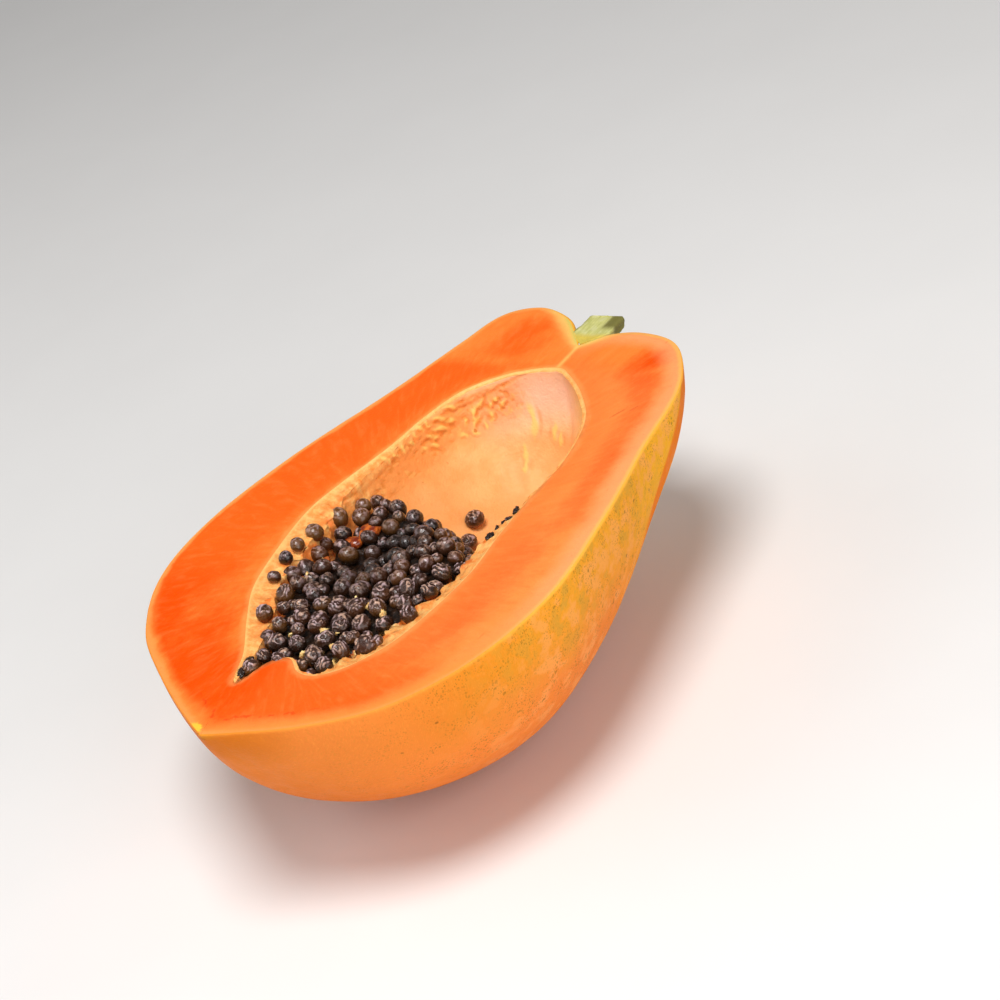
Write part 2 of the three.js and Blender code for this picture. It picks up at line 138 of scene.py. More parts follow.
STALK_HOLLOW = 0.3  # depth of the hollow beside each of them
# The patch of the +Y wall that bore them, rough all over: along x, across y and down the wall.
ROUGH_X = (112, 130, 192, 203)
ROUGH_Y = (8, 18)
ROUGH_DOWN = (0.8, 2.6, 10, 19)
ROUGH_HEIGHT = 0.38
WALL_WAVE = 0.16  # height of the smooth wall's soft waves
FOLD_DEPTH = 0.35  # depth of the fold below the +Y lip near the stem end

# ------------------------------------------------------------------ the stem, in mm
STEM_PROFILE = [(215.6, 0), (219.5, 4.6), (223, 8.1), (225.4, 8), (227, 7.3), (233.4, 7.5),
                (234.2, 6.9), (234.2, 0)]

# ------------------------------------------------------------------ the seeds, in mm
RANDOM_START = 20417
SEED_RADIUS = 3.05
SEED_RADIUS_SPREAD = 1.5
SEED_SIZE_FALL = 0.3
SEED_SHAPE = (1, 0.93, 0.84)  # its length, width and thickness
SEED_TRIES = 4200
SEED_SPACING = 1.12
# The seeds in the gaps: their throws, spacing, how far they lie lower, how far inside the heap's
# border they start, and the share left out among the wrinkled seeds.
FILL_TRIES = 9000
FILL_SPACING = 0.86
FILL_DROP = 1.3
FILL_MARGIN = 3
FILL_GAPS = 0.6
SEED_LIFT = 1.2
HEAP_BOX = (30, 158, -44, 44)
HEAP_LEVEL = -2.6
# The heap's form: the valley in its middle, its slope down to +Y and its front to the empty half.
VALLEY = {"x": 106, "y": 10, "rx": 23, "ry": 15, "depth": 9}
SHADE_SHIFT = (3, 4)  # how far towards -X and -Y of the valley the painted shade on its seeds is deepest
SIDE_SLOPE = {"from": 66, "to": 108, "slope": 0.17}
FRONT = {"start": 116, "skew": 0.59, "bow": 0.0067, "width": 13, "drop": 36}
# How seeds lie on the hollow's wall: their lift, how far outside the heap they may lie, and the
# same for the stragglers round it with their share.
WALL_LIFT = 0.8
WALL_SEED_DROP = 0.4
STRAGGLER_DROP = 1.9
STRAGGLER_SHARE = 0.2
STRAGGLER_FROM = (76, -5)
# Where seeds also lie on the brink of the +Y wall, beside the heap.
BRINK = {"x": (74, 118), "y": 20, "above": (-2, 5.5), "reach": 3, "fall": 2.5, "spacing": 0.98}
SEED_TOP = 2.7  # no seed stands higher than this above the cut face
# Stray seeds: x, y and radius. Torn bits of seed: x, y, length and turn.
STRAY_SEEDS = [(154.5, 16, 3.5), (144.5, 12.5, 3.2)]
SEED_BITS = [(107.3, -35.7, 3.9, .3), (112.6, -34.8, 2.4, .6), (115, -35.6, 1.6, .2), (117.6, -36, 3, .1),
             (121.6, -36.4, 3.4, .2), (30.7, 8.1, 4.2, .5), (36, 9.5, 4.6, .6)]
STRAY_LIFT = 0.75
BIT_LIFT = 0.2
BIT_SHAPE = (0.78, 0.525, 0.3)
WRINKLE_STEP = 0.5
WRINKLE_HEIGHT = 0.15
DRY_TO = 70  # the seeds are wrinkled up to this x, and further along the near side
DRY_BOW = 0.03
BED_GRID = 0.75
BED_DROP = 1.4
BED_THICKNESS = 3
# Pale pulp stands in the bed up to PULP_TO, and where the heap is thin.
PULP_TO = 78
PULP_FILL = 4
PULP_RISE = 1.3
PULP_LIFT = 0.7
JELLY_LIFT = -0.4
JELLY_SHAPE = (1, 0.8, 0.55)
# Pale crumbs of pulp among the seeds and lumps of amber jelly between them: x, y and radius.
PULP = [(73, -6, 2.2), (61, 0, 2.0), (56, 15, 2.2), (69, -14.5, 2.1), (55.5, -12, 1.8), (84, 24, 2.4),
        (52, 5, 1.6), (95, 27, 2.2), (43.5, -6.5, 1.9), (55.5, -6, 2.2), (66, -22, 2.0), (48, -16, 2.0)]
JELLY = [(116.5, 25, 4.6), (110, 27, 3.6), (82.5, 27, 2.8), (124, -2, 2.8), (97, 29, 3.0)]


# ------------------------------------------------------------------ helpers for shapes
def to_row(points):
    """Points of the fruit's own frame, in mm, as metres in the frame."""
    return np.asarray(points, float) * MM + np.array(TIP)


def catmull(p0, p1, p2, p3, w):
    """A uniform Catmull-Rom stretch from p1 to p2."""
    v0 = (p2 - p0) / 2
    v1 = (p3 - p1) / 2
    return (2 * p1 - 2 * p2 + v0 + v1) * w**3 + (-3 * p1 + 3 * p2 - 2 * v0 - v1) * w**2 + v0 * w + p1


def open_spline(points, t):
    """The curve through points at t from 0 to 1."""
    points = np.asarray(points, float)
    last = len(points) - 1
    place = np.clip(t, 0, 1) * last
    i = np.minimum(place.astype(int), last - 1)
    near = [points[np.clip(i + k, 0, last)] for k in (-1, 0, 1, 2)]
    return catmull(*near, (place - i)[:, None])


def closed_spline(points, u):
    """The closed curve through points at u, which wraps round from 1 to 0."""
    points = np.asarray(points, float)
    place = (u % 1) * len(points)
    i = place.astype(int)
    near = [points[(i + k) % len(points)] for k in (-1, 0, 1, 2)]
    return catmull(*near, (place - i)[:, None])


def smooth(low, high, value):
    """0 below low, 1 above high and a smooth step between them."""
    share = np.clip((value - low) / (high - low), 0, 1)
    return share * share * (3 - 2 * share)


def unit(vectors):
    return vectors / (np.linalg.norm(vectors, axis=-1, keepdims=True) + 1e-9)


def bell(value, width):
    """1 at 0, falling smoothly to a third at width on either side."""
    return np.exp(-((value / width) ** 2))


def noise_at(points, scale, seed=0.0):
    """Smooth noise from -1 to 1 at each point, with features about 1 / scale wide."""
    shifted = np.asarray(points, float) * scale + seed
    return np.array([noise.noise(Vector(p)) for p in shifted])


def loop_noise(u, across, width):
    """Smooth noise from -1 to 1 along the hollow's edge, with features about width mm wide."""
    radius = EDGE_LENGTH / (2 * math.pi * width)
    turn = 2 * np.pi * u
    round_loop = np.column_stack([radius * np.cos(turn), radius * np.sin(turn), across + 0 * u])
    return noise_at(round_loop, 1.0)


def random_from(start):
    """Seeded random numbers from 0 to 1."""
    state = start
    while True:
        state = (state * 1664525 + 1013904223) % 2**32
        yield state / 2**32


def add_object(name, data):
    made = bpy.data.objects.new(name, data)
    bpy.context.scene.collection.objects.link(made)
    return made


def make_object(name, points, faces, materials, face_materials=None):
    """A smooth-shaded mesh object from points in the fruit's own frame."""
    mesh = bpy.data.meshes.new(name)
    faces = [tuple(int(i) for i in face) for face in faces]
    mesh.from_pydata([tuple(p) for p in to_row(points)], [], faces)
    for material in materials:
        mesh.materials.append(material)
    mesh.polygons.foreach_set("use_smooth", [True] * len(faces))
    if face_materials is not None:
        mesh.polygons.foreach_set("material_index", face_materials)
    mesh.update()
    return add_object(name, mesh)


def set_attribute(made, name, values):
    """Gives each point a value that the materials read by name."""
    attribute = made.data.attributes.new(name, "FLOAT", "POINT")
    attribute.data.foreach_set("value", np.asarray(values, np.float32))


# ------------------------------------------------------------------ the fruit's surfaces
def skin_rows():
    """Points of the skin, [row along the fruit, column from the left rim to the right rim]."""
    t = np.arange(1, LENGTH_STEPS) / LENGTH_STEPS
    left = open_spline(LEFT, t)
    right = open_spline(RIGHT, t)
    belly = open_spline(BELLY, t)
    rim = np.arcsin(np.clip(np.array(RIM_DEPTHS) / belly[:, 1:], 0, 0.3))
    first = rim[:, -1:]
    middle = first + (np.pi - 2 * first) * np.linspace(0, 1, ROUND_STEPS + 1)[None, 1:-1]
    angle = np.hstack([rim, middle, np.pi - rim[:, ::-1]])
    across = np.cos(angle)
    down = np.abs(np.sin(angle))
    down[:, [0, -1]] = 0

    grown = np.clip((t - RIBS_GROW_FROM) / (RIBS_GROWN_BY - RIBS_GROW_FROM), 0, 1)[:, None]
    swell = RIB_SWELL + (RIB_SWELL_AT_STEM - RIB_SWELL) * grown
    reach = RIB_REACH * grown * np.sin(np.pi * np.minimum(1, (1 - t) / RIB_REACH_SPAN))[:, None]
    rib = down**RIB_FADE * np.cos(RIBS * angle)
    side = np.where((across >= 0)[:, :, None], left[:, None, :], right[:, None, :])
    x = belly[:, :1] + (side[:, :, 0] - belly[:, :1]) * across**2 + reach * rib
    swollen = 1 + swell * rib - SLIM * (2 * across * down) ** 2
    y = side[:, :, 1] * across * swollen
    z = -belly[:, 1:] * down * swollen
    points = np.stack([x, y, z], 2)

    flat = points.reshape(-1, 3)
    dent = 0.7 * noise_at(flat, 1 / 21, 3.0) + 0.3 * noise_at(flat, 1 / 7, 11.0) - 1
    outward = unit(flat * np.array([0, 1, 1]))
    outward[:, 2] = np.minimum(outward[:, 2], 0)
    flat = flat + outward * (SKIN_DENT * dent * smooth(0, 6, np.abs(flat[:, 1]) - flat[:, 2]))[:, None]
    points = flat.reshape(points.shape)
    points[:, [0, -1], 2] = 0
    bevel_rim(points)
    points[:, :, 2] = np.maximum(points[:, :, 2], -TIP.z / MM)
    return points


def bevel_rim(points):
    """Draws the rows next to the cut face inwards, so that the cut edge is slightly round."""
    for columns in ((0, 1, 2, 3), (-1, -2, -3, -4)):
        edge = points[:, columns[0], :2]
        along = unit(np.gradient(edge, axis=0))
        inward = np.stack([along[:, 1], -along[:, 0]], 1) * (1 if columns[0] == 0 else -1)
        for column in columns:
            depth = np.clip(-points[:, column, 2], 0, RIM_BEVEL)
            drawn = RIM_BEVEL - np.sqrt(RIM_BEVEL**2 - (RIM_BEVEL - depth) ** 2)
            points[:, column, :2] += inward * drawn[:, None]


def loop_share(points):
    """Share of the whole length at each point of a line."""
    steps = np.linalg.norm(np.diff(points[:, :2], axis=0), axis=1)
    return np.concatenate([[0], np.cumsum(steps)]) / steps.sum()


def hollow_edge(outline):
    """The hollow's edge with one point for each point of the fruit's outline: the edge's points,
    its inward directions and its own share u of the loop."""
    fine = np.linspace(0, 1, EDGE_STEPS + 1)
    edge = closed_spline(HOLLOW_EDGE, fine)
    turn = int(STEM_END * EDGE_STEPS)
    half = LENGTH_STEPS
    out = np.vstack([outline, outline[:1]])
    go = np.interp(loop_share(out[: half + 1]), loop_share(edge[: turn + 1]), fine[: turn + 1])
    back = np.interp(loop_share(out[half:]), loop_share(edge[turn:]), fine[turn:])
    u = np.concatenate([go, back[1:-1]])
    step = 1 / 400
    ahead = closed_spline(HOLLOW_EDGE, u + step)
    behind = closed_spline(HOLLOW_EDGE, u - step)
    inward = unit(np.stack([ahead[:, 1] - behind[:, 1], behind[:, 0] - ahead[:, 0]], 1))
    return closed_spline(HOLLOW_EDGE, u), inward, u


def slits_at(u, across):
    """The torn slits that run from the shelf into the hollow, 1 in their middle."""
    return bell(loop_noise(u, across, SLIT_SPACING), SLIT_WIDTH)


def hollow_rings(edge, inward, u):
    """Rings of the hollow's surface from its edge to its floor. Also each point's share of a slit
    and of the shelf, and its distance from the edge."""
    shelf = np.maximum(edge[:, 2], 0.15)
    swing = loop_noise(u, 4, EDGE_LENGTH / 56)
    creasing = 0.5 + 0.5 * np.cos(2 * np.pi * CREASES * u + 4 * swing)
    share = np.clip((edge[:, 0] - FAN_X[0]) / (FAN_X[1] - FAN_X[0]), 0, 1)[:, None]
    keel = KEEL[0] + (KEEL[1] - KEEL[0]) * share
    wide = np.clip(shelf / 4 - 0.3, 0, 1)
    ragged = loop_noise(u, 9, 3.6) + 0.6 * loop_noise(u, 5, 1.6) - 0.9 * slits_at(u, 0.0)
    reach = shelf * (1 + LIP_RAG * ragged * wide)
    lip = edge[:, :2] + inward * reach[:, None]
    drop_at_lip = SHELF_STEP + SHELF_SLOPE * shelf + shelf * CREASE_DEPTH * 2 * creasing
    layers = []
    for k in range(SHELF_RINGS):
        s = k / SHELF_RINGS
        slit = slits_at(u, (s - 1) * shelf / 9) * smooth(0.2, 0.75, s) * wide
        flat = edge[:, :2] + inward * (reach * s)[:, None]
        z = -(SHELF_STEP * min(1, 3 * s) + (drop_at_lip - SHELF_STEP) * s**1.3) - SLIT_DEPTH * slit
        layers.append((np.column_stack([flat, z]), slit, np.ones(len(u)), shelf * s))
    for k in range(WALL_RINGS + 1):
        angle = (k / WALL_RINGS) ** WALL_CROWDING * WALL_END * np.pi / 2
        ridge = RIDGE_HEIGHT * math.exp(-(((angle - RIDGE_ANGLE) / RIDGE_SPREAD) ** 2))
        knob = 1 - RIDGE_KNOB_DEPTH * (1 - np.cos(2 * np.pi * RIDGE_KNOBS * u))
        slit = slits_at(u, 0.0) * math.exp(-angle / 0.07) * wide
        inner = keel + (lip - keel) * math.cos(angle) + inward * (ridge * knob - SLIT_DEPTH * slit)[:, None]
        z = -drop_at_lip - (HOLLOW_DEPTH - drop_at_lip) * math.sin(angle) - SLIT_DEPTH * slit
        torn_lip = math.exp(-angle / 0.05) * np.clip(shelf / 3, 0.3, 1)
        soft = math.exp(-((angle / 0.3) ** 2)) * np.clip(shelf / 4 - 0.7, 0, 1)
        depth = shelf - z - drop_at_lip
        layers.append((np.column_stack([inner, z]), slit, np.maximum(torn_lip, soft), depth))
    return [np.array(values) for values in zip(*layers)]


def ring_frames(rings):
    """Unit vectors round a stack of closed rings, down it, and out of it into the hollow."""
    around = unit(np.roll(rings, -1, axis=1) - np.roll(rings, 1, axis=1))
    normal = unit(np.cross(np.gradient(rings, axis=0), around))
    return [vectors.reshape(-1, 3) for vectors in (around, np.cross(around, normal), normal)]


def stalk_relief(points, around, down, normals):
    """Height of the torn stalks at each point, and each point's share of a stalk and of the hollow below one,
    where a shadow is also painted."""
    height, stalk, pocket_shade = np.zeros((3, len(points)))
    for x, y, z, half_length, half_width, tall, lean in STALKS:
        offset = points - np.array([x, y, z])
        here = np.where(np.abs(offset).max(axis=1) < 3 * half_length)[0]
        nearest = here[np.argmin(np.linalg.norm(offset[here], axis=1))]
        turn = math.radians(lean)
        way = math.cos(turn) * down[nearest] + math.sin(turn) * around[nearest]
        side = np.cross(normals[nearest], way)
        if side @ down[nearest] < 0:
            side = -side
        a = offset[here] @ way / half_length
        b = offset[here] @ side / half_width + 0.45 * np.sin(2.4 * a + x)
        thin = 1 + 0.35 * np.sin(5.1 * a + y)
        ends = np.exp(-(np.abs(a) ** 2.6))
        bulge = ends * bell(b, thin)
        # the hollow below each stalk, which also gets a painted shadow
        hole_shade = ends * bell(b - 1.7, 0.8)
        stalk[here] = np.maximum(stalk[here], bulge)
        pocket_shade[here] = np.maximum(pocket_shade[here], hole_shade * min(1, tall))
        height[here] = np.maximum(height[here], STALK_HEIGHT * bulge * tall)
    return height - STALK_HOLLOW * pocket_shade, stalk, pocket_shade


def add_relief(rings, shelves):
    """Raises the torn seed stalks and roughens the shelf and wall. Also returns each point's share of a
    stalk, of the painted shade in the hollows below the stalks and in the dips of the rough patch, of the
    rough patch and of the painted shade in the fold below the lip."""
    around, down, normals = ring_frames(rings)
    points = rings.reshape(-1, 3)
    height, stalk, pocket_shade = stalk_relief(points, around, down, normals)
    x, y, z = points.T
    depth = -z
    zone = smooth(*ROUGH_X[:2], x) * (1 - smooth(*ROUGH_X[2:], x)) * smooth(*ROUGH_Y, y)
    zone = zone * smooth(*ROUGH_DOWN[:2], depth) * (1 - smooth(*ROUGH_DOWN[2:], depth))
    stretched = points * np.array([0.55, 1, 0.9])
    ridges = 1 - 3.2 * np.abs(noise_at(stretched, 1 / 1.7, 21.0))
    knots = noise_at(points, 1 / 1.1, 5.0)
    rough = ROUGH_HEIGHT * (0.65 * ridges + 0.45 * knots)
    tears = 0.75 * noise_at(points, 1 / 2.3, 5.0) + 0.6 * noise_at(points, 1 / 1.1, 9.0)
    tears *= smooth(186, 165, x)
    waves = noise_at(points, 1 / 8, 2.0) + 0.4 * noise_at(points, 1 / 3.5, 8.0)
    soft = shelves.reshape(-1)
    edge = np.ones(rings.shape[:2])
    edge[0] = 0
    edge[1] = 0.4
    relief = SHELF_TEAR * soft * (tears - 0.35) + WALL_WAVE * waves * (1 - soft) + rough * zone
    height += edge.reshape(-1) * relief
    # painted shade also in the dips of the rough patch
    pocket_shade = np.maximum(pocket_shade, 0.8 * zone * smooth(0.2, -0.5, 0.65 * ridges + 0.45 * knots))
    # the fold below the +Y lip: a shallow dent that is also coloured with painted shade
    fold_shade = bell(depth - 4.8 + 0.022 * (x - 184) ** 2, 0.6) * smooth(170, 176, x) * smooth(8, 16, y)
    height -= FOLD_DEPTH * fold_shade
    return (points + normals * height[:, None]).reshape(rings.shape), stalk, pocket_shade, zone, fold_shade


def strip(a, b, closed=True):
    """Quads between two rows of vertex indices."""
    size = len(a)
    count = size if closed else size - 1
    return [(a[j], b[j], b[(j + 1) % size], a[(j + 1) % size]) for j in range(count)]


def distances(points, line):
    """Distance in the cut face from each point to a line of closely spaced points."""
    fine = np.vstack([line + (np.roll(line, -1, axis=0) - line) * k / 4 for k in range(4)])
    tree = KDTree(len(fine))
    for i, (x, y) in enumerate(fine):
        tree.insert((x, y, 0), i)
    tree.balance()
    return np.array([tree.find((x, y, 0))[2] for x, y in points])


def ripeness(x, y, rim, lip):
    """How deep the orange of the cut flesh is, from 0 to 1: in a band between rim and hollow on
    each side, at the blossom tip and on both shoulders beside the stem."""
    far = smooth(-14, 10, y)
    share = rim / (rim + lip + 1e-6)
    to_stem = smooth(88, 135, x)
    far_side = 1 - 0.55 * bell(lip, 8) - 0.4 * bell(x - 62, 20) * bell(y - 47, 11)
    near_side = bell(share - 0.82, 0.42) * (1 - to_stem) + 0.8 * bell(share - 0.4, 0.25) * to_stem
    along = near_side * (1 - far) + far_side * far
    at_tip = 0.95 * smooth(62, 26, x)
    past = smooth(196, 210, x)
    along = np.maximum(along, at_tip) * (1 - past)
    right_shoulder = 0.95 * bell(x - 207, 13) * bell(y + 36 + 0.5 * (x - 207), 10)
    left_shoulder = 0.85 * smooth(200, 212, x) * bell(y - 27, 13) * smooth(238, 226, x)
    return np.clip(np.maximum(along, np.maximum(right_shoulder, left_shoulder)), 0, 1)


def groove_shade_at(x, y, z):
    """Painted shade in the groove that runs down the skin from the shoulders, 1 in its middle."""
    below = -0.1 - 0.62 * (192.7 - x) - z
    along = smooth(142, 160, x) * smooth(214, 206, x)
    return smooth(0, 2.5, below) * smooth(17, 9, below) * along * smooth(-20, -40, y)


def stem_halo(x, y):
    """The pale tissue round the stem and the seam from there to the hollow, from 0 to 1."""
    seam = bell(y, 0.9) * smooth(199, 201, x) * smooth(219, 216, x)
    away = np.maximum(np.abs(y) - 1.05 * np.maximum(x - 214, 0), 0)
    round_stem = bell(away, 3.2) * smooth(211, 217, x)
    return np.clip(0.75 * seam + 0.85 * round_stem, 0, 1)


def build_fruit(materials):
    """The fruit as one closed mesh: skin, cut flesh and the hollow's wall. Also returns the
    hollow's surface for the seeds to lie on."""
    skin = skin_rows()
    rows, columns = skin.shape[:2]
    tip = [[0.0, 0.0, -RIM_BEVEL]]
    pit = [[*LEFT[-1], 0.0]]
    outside = np.vstack([tip, skin.reshape(-1, 3), pit])
    grid = 1 + np.arange(rows * columns).reshape(rows, columns)
    pit_index = len(outside) - 1
    faces = []
    for row in range(rows - 1):
        faces += strip(grid[row], grid[row + 1], closed=False)
    faces += [(0, grid[0, j], grid[0, j + 1]) for j in range(columns - 1)]
    faces += [(grid[-1, j], pit_index, grid[-1, j + 1]) for j in range(columns - 1)]
    kinds = [SKIN] * len(faces)

    outline_index = [0, *grid[:, 0], pit_index, *grid[::-1, -1]]
    outline = outside[outline_index]
    edge, inward, u = hollow_edge(outline)
    rings, slits, shelves, depths = hollow_rings(edge, inward, u)
    rings, stalks, pocket_shades, rough, fold_shades = add_relief(rings, shelves)
    size = len(outline)
    shares = (np.arange(1, FLESH_RINGS) / FLESH_RINGS)[:, None, None]
    flesh = outline[None, :, :2] * (1 - shares) + edge[None, :, :2] * shares
    flesh = np.dstack([flesh, np.zeros(flesh.shape[:2])])
    flesh[:, :, 2] = -FLESH_WAVE * (1 + noise_at(flesh.reshape(-1, 3), 1 / 11, 6.0)).reshape(flesh.shape[:2])

    points = np.vstack([outside, flesh.reshape(-1, 3), rings.reshape(-1, 3)])
    inside = len(outside) + np.arange((len(flesh) + len(rings)) * size).reshape(-1, size)
    ring_index = [outline_index, *inside]
    for k in range(len(inside)):
        made = strip(ring_index[k], ring_index[k + 1])
        faces += made
        kinds += [FLESH if k < FLESH_RINGS else WALL] * len(made)
    last = inside[-1]
    half = size // 2
    floor = [(last[0], last[-1], last[1]), (last[half - 1], last[half + 1], last[half])]
    floor += [(last[j], last[-j], last[-j - 1], last[j + 1]) for j in range(1, half - 1)]
    faces += floor
    kinds += [WALL] * len(floor)
    fruit = make_object("papaya_half", points, faces, materials, kinds)

    on_skin = len(outside)
    on_flesh = on_skin + flesh.size // 3
    cut = points[on_skin:on_flesh, :2]
    rim = np.concatenate([-outside[:, 2], distances(cut, outline[:, :2]), np.full(len(stalks), FAR_AWAY)])
    lip = np.concatenate([np.full(on_skin, FAR_AWAY), distances(cut, edge[:, :2]), depths.reshape(-1)])
    x, y = points[:, 0], points[:, 1]
    along = ALONG_LENGTH * loop_share(edge)
    green = bell(np.maximum(np.abs(y) - 0.9 * (x - 214.5), 0), 1.2) * smooth(214, 217, x) * (rim < 40)
    past_rim = np.where(np.arange(len(x)) < on_skin, FAR_AWAY, lip)
    for name, values in (
        ("rim", rim),
        ("lip", lip),
        ("ripe", ripeness(x, y, rim, past_rim)),
        # painted shade in the skin's groove
        ("groove_shade", groove_shade_at(*points.T)),
        ("along", np.concatenate([np.zeros(on_skin), np.tile(along, len(inside))])),
        ("halo", np.concatenate([stem_halo(x[:on_flesh], y[:on_flesh]), 0 * stalks])),
        ("green", green),
    ):
        set_attribute(fruit, name, values)
    for name, values in (
        ("slit", slits), ("shelf", shelves), ("stalk", stalks), ("pocket_shade", pocket_shades), ("rough", rough),
        ("fold_shade", fold_shades),
    ):
        set_attribute(fruit, name, np.concatenate([np.zeros(on_flesh), values.reshape(-1)]))
    wall_faces = [[int(i) for i in face] for face, kind in zip(faces, kinds) if kind == WALL]
    return fruit, BVHTree.FromPolygons([tuple(p) for p in points], wall_faces)


# ------------------------------------------------------------------ stem
def build_stem(material):
    """Half of the cut stem: a fluted stub, its broken end slightly ragged."""
    profile = np.array(STEM_PROFILE, float)
    t = np.linspace(0, 1, 60)
    steps = loop_share(profile)
    along = np.interp(t, steps, profile[:, 0])
    radius = np.interp(t, steps, profile[:, 1])
    angles = np.linspace(0, np.pi, 49)
    rings = []
    for x, r in zip(along, radius):
        flute = 1 - 0.035 * (0.5 + 0.5 * np.cos(angles * 14 + x * 0.05)) * min(1, r / 4)
        ragged = np.array([noise.noise(Vector((x / 2, a * 3, 1))) for a in angles])
        grown = r * flute * (1 - 0.03 * (ragged + 1))
        depth = -grown * np.sin(angles)
        depth[[0, -1]] = 0
        end = -0.5 * (ragged + 1) * smooth(233, 234.2, x)
        rings.append(np.column_stack([x + end, grown * np.cos(angles), depth]))
    rings = np.array(rings)
    rows = len(rings)
    top_share = np.linspace(0, 1, 15)[1:-1]
    top = rings[:, :1] * (1 - top_share)[None, :, None] + rings[:, -1:] * top_share[None, :, None]
    across = np.abs(top[:, :, 1]) / (np.abs(rings[:, :1, 1]) + 1e-6)
    top[:, :, 2] = -0.25 * (noise_at(top.reshape(-1, 3), 1 / 2.5, 8).reshape(across.shape) + 1) * (1 - across)
    full = np.concatenate([rings, top[:, ::-1]], axis=1)
    index = np.arange(full.shape[0] * full.shape[1]).reshape(full.shape[:2])
    faces = []
    for row in range(rows - 1):
        faces += strip(index[row + 1], index[row])
    faces.append(tuple(index[0][1:-1]))
    faces.append(tuple(index[-1][::-1]))
    return make_object("stem_stub", full.reshape(-1, 3), faces, [material])


# ------------------------------------------------------------------ seeds
def in_valley(x, y):
    """1 in the middle of the heap's valley, falling to a third at its border."""
    a = (x - VALLEY["x"]) / VALLEY["rx"]
    b = (y - VALLEY["y"]) / VALLEY["ry"]
    return math.exp(-(a**2 + b**2))


def heap_height(x, y):
    """Height of the heap's surface."""
    past = max(0, x - FRONT["skew"] * y + FRONT["bow"] * y * y - FRONT["start"])
    front = FRONT["drop"] * (1 - math.exp(-((past / FRONT["width"]) ** 2)))
    along = min(1, max(0, (x - SIDE_SLOPE["from"]) / (SIDE_SLOPE["to"] - SIDE_SLOPE["from"])))
    side = max(0, y) * SIDE_SLOPE["slope"] * along
    return HEAP_LEVEL - side - front - VALLEY["depth"] * in_valley(x, y)


def wall_height(wall, x, y):
    """Height of the hollow's wall or floor under (x, y), or None outside the hollow."""
    hit = wall.ray_cast(Vector((x, y, -100)), Vector((0, 0, 1)))[0]
    return None if hit is None else hit.z


def on_brink(wall, x, y, below, above):
    """Whether a seed at (x, y) would lie on the brink of the +Y wall, beside the heap."""
    if not (BRINK["x"][0] < x < BRINK["x"][1] and y > BRINK["y"]):
        return False
    inside = wall_height(wall, x, y - BRINK["reach"])
    steep = inside is not None and below - inside > BRINK["fall"]
    return steep and BRINK["above"][0] < above < BRINK["above"][1]


def lay_seeds(wall):
    """The heap's seeds, as centre, radius, turn, heap thickness and whether it only fills a gap:
    first the ones of the solid heap, by the same throws, then smaller throws between them."""
    random = random_from(RANDOM_START)
    x0, x1, y0, y1 = HEAP_BOX
    seeds = []
    for i in range(SEED_TRIES + FILL_TRIES):
        filling = i >= SEED_TRIES
        size = 0.5 - (next(random) if filling else (i / SEED_TRIES) ** SEED_SIZE_FALL)
        radius = SEED_RADIUS + SEED_RADIUS_SPREAD * size
        x = x0 + (x1 - x0) * next(random)
        y = y0 + (y1 - y0) * next(random)
        turn = Euler([3 * next(random) for _ in range(3)])
        chance = next(random)
        below = wall_height(wall, x, y)
        if below is None:
            continue
        heap = heap_height(x, y)
        above = below - heap
        aside = x > STRAGGLER_FROM[0] and y > STRAGGLER_FROM[1]
        straggles = aside and chance < STRAGGLER_SHARE
        border = filling and on_brink(wall, x, y, below, above)
        if border:
            filling = False
        elif above > STRAGGLER_DROP or (above > WALL_SEED_DROP and not straggles):
            continue
        if filling and (above > -FILL_MARGIN or (x < PULP_TO and chance < FILL_GAPS)):
            continue
        drop = FILL_DROP + chance if filling else 0
        centre = Vector((x, y, max(heap + SEED_LIFT - drop, below + WALL_LIFT * radius)))
        centre.z = min(centre.z, SEED_TOP - radius)
        spacing = BRINK["spacing"] if border else FILL_SPACING if filling else SEED_SPACING
        if all((s[0] - centre).length > spacing * (s[1] + radius) for s in seeds):
            seeds.append((centre, radius, turn, -above, filling))
    return seeds


def ball(detail):
    """Points and faces of a ball of radius 1."""
    shape = bmesh.new()
    bmesh.ops.create_icosphere(shape, subdivisions=detail, radius=1)
    points = np.array([v.co for v in shape.verts])
    faces = np.array([[v.index for v in f.verts] for f in shape.faces])
    shape.free()
    return points, faces


def seed_form(random, wrinkling, detail):
    """One seed of radius 1 about the origin: its points, faces, and how much of a wrinkle each
    point is. The wrinkles curl round the scar of its stalk, which is on top."""
    points, faces = ball(detail)
    shift = 50 * next(random)
    swirl = noise_at(points, 1.3, shift)
    fine = noise_at(points, 3.2, shift + 5)
    away = np.arccos(np.clip(points[:, 2], -1, 1))
    round_scar = np.arctan2(points[:, 1], points[:, 0]) / (2 * np.pi)
    field = away / WRINKLE_STEP + round_scar + 1.5 * swirl + 0.2 * fine
    ridges = bell(field % 1 - 0.5, 0.2) * smooth(2.1, 1.2, away) * smooth(-0.5, 0.0, swirl + 0.4 * fine + 0.3)
    lumps = noise_at(points, 1.1, shift + 9)
    pit = wrinkling * bell(away, 0.22)
    radius = 1 + wrinkling * WRINKLE_HEIGHT * (ridges - 0.4) - 0.12 * pit + 0.06 * lumps
    return points * (radius / radius.mean())[:, None], faces, ridges * (1 - pit)


def crumb_form(random):
    """One crumb of torn pulp, lumpy and ragged."""
    points, faces = ball(3)
    shift = 50 * next(random)
    radius = 1 + 0.7 * noise_at(points, 1.0, shift) + 0.5 * noise_at(points, 2.3, shift + 7)
    return points * (radius / radius.max())[:, None], faces, noise_at(points, 2.0, shift + 3)


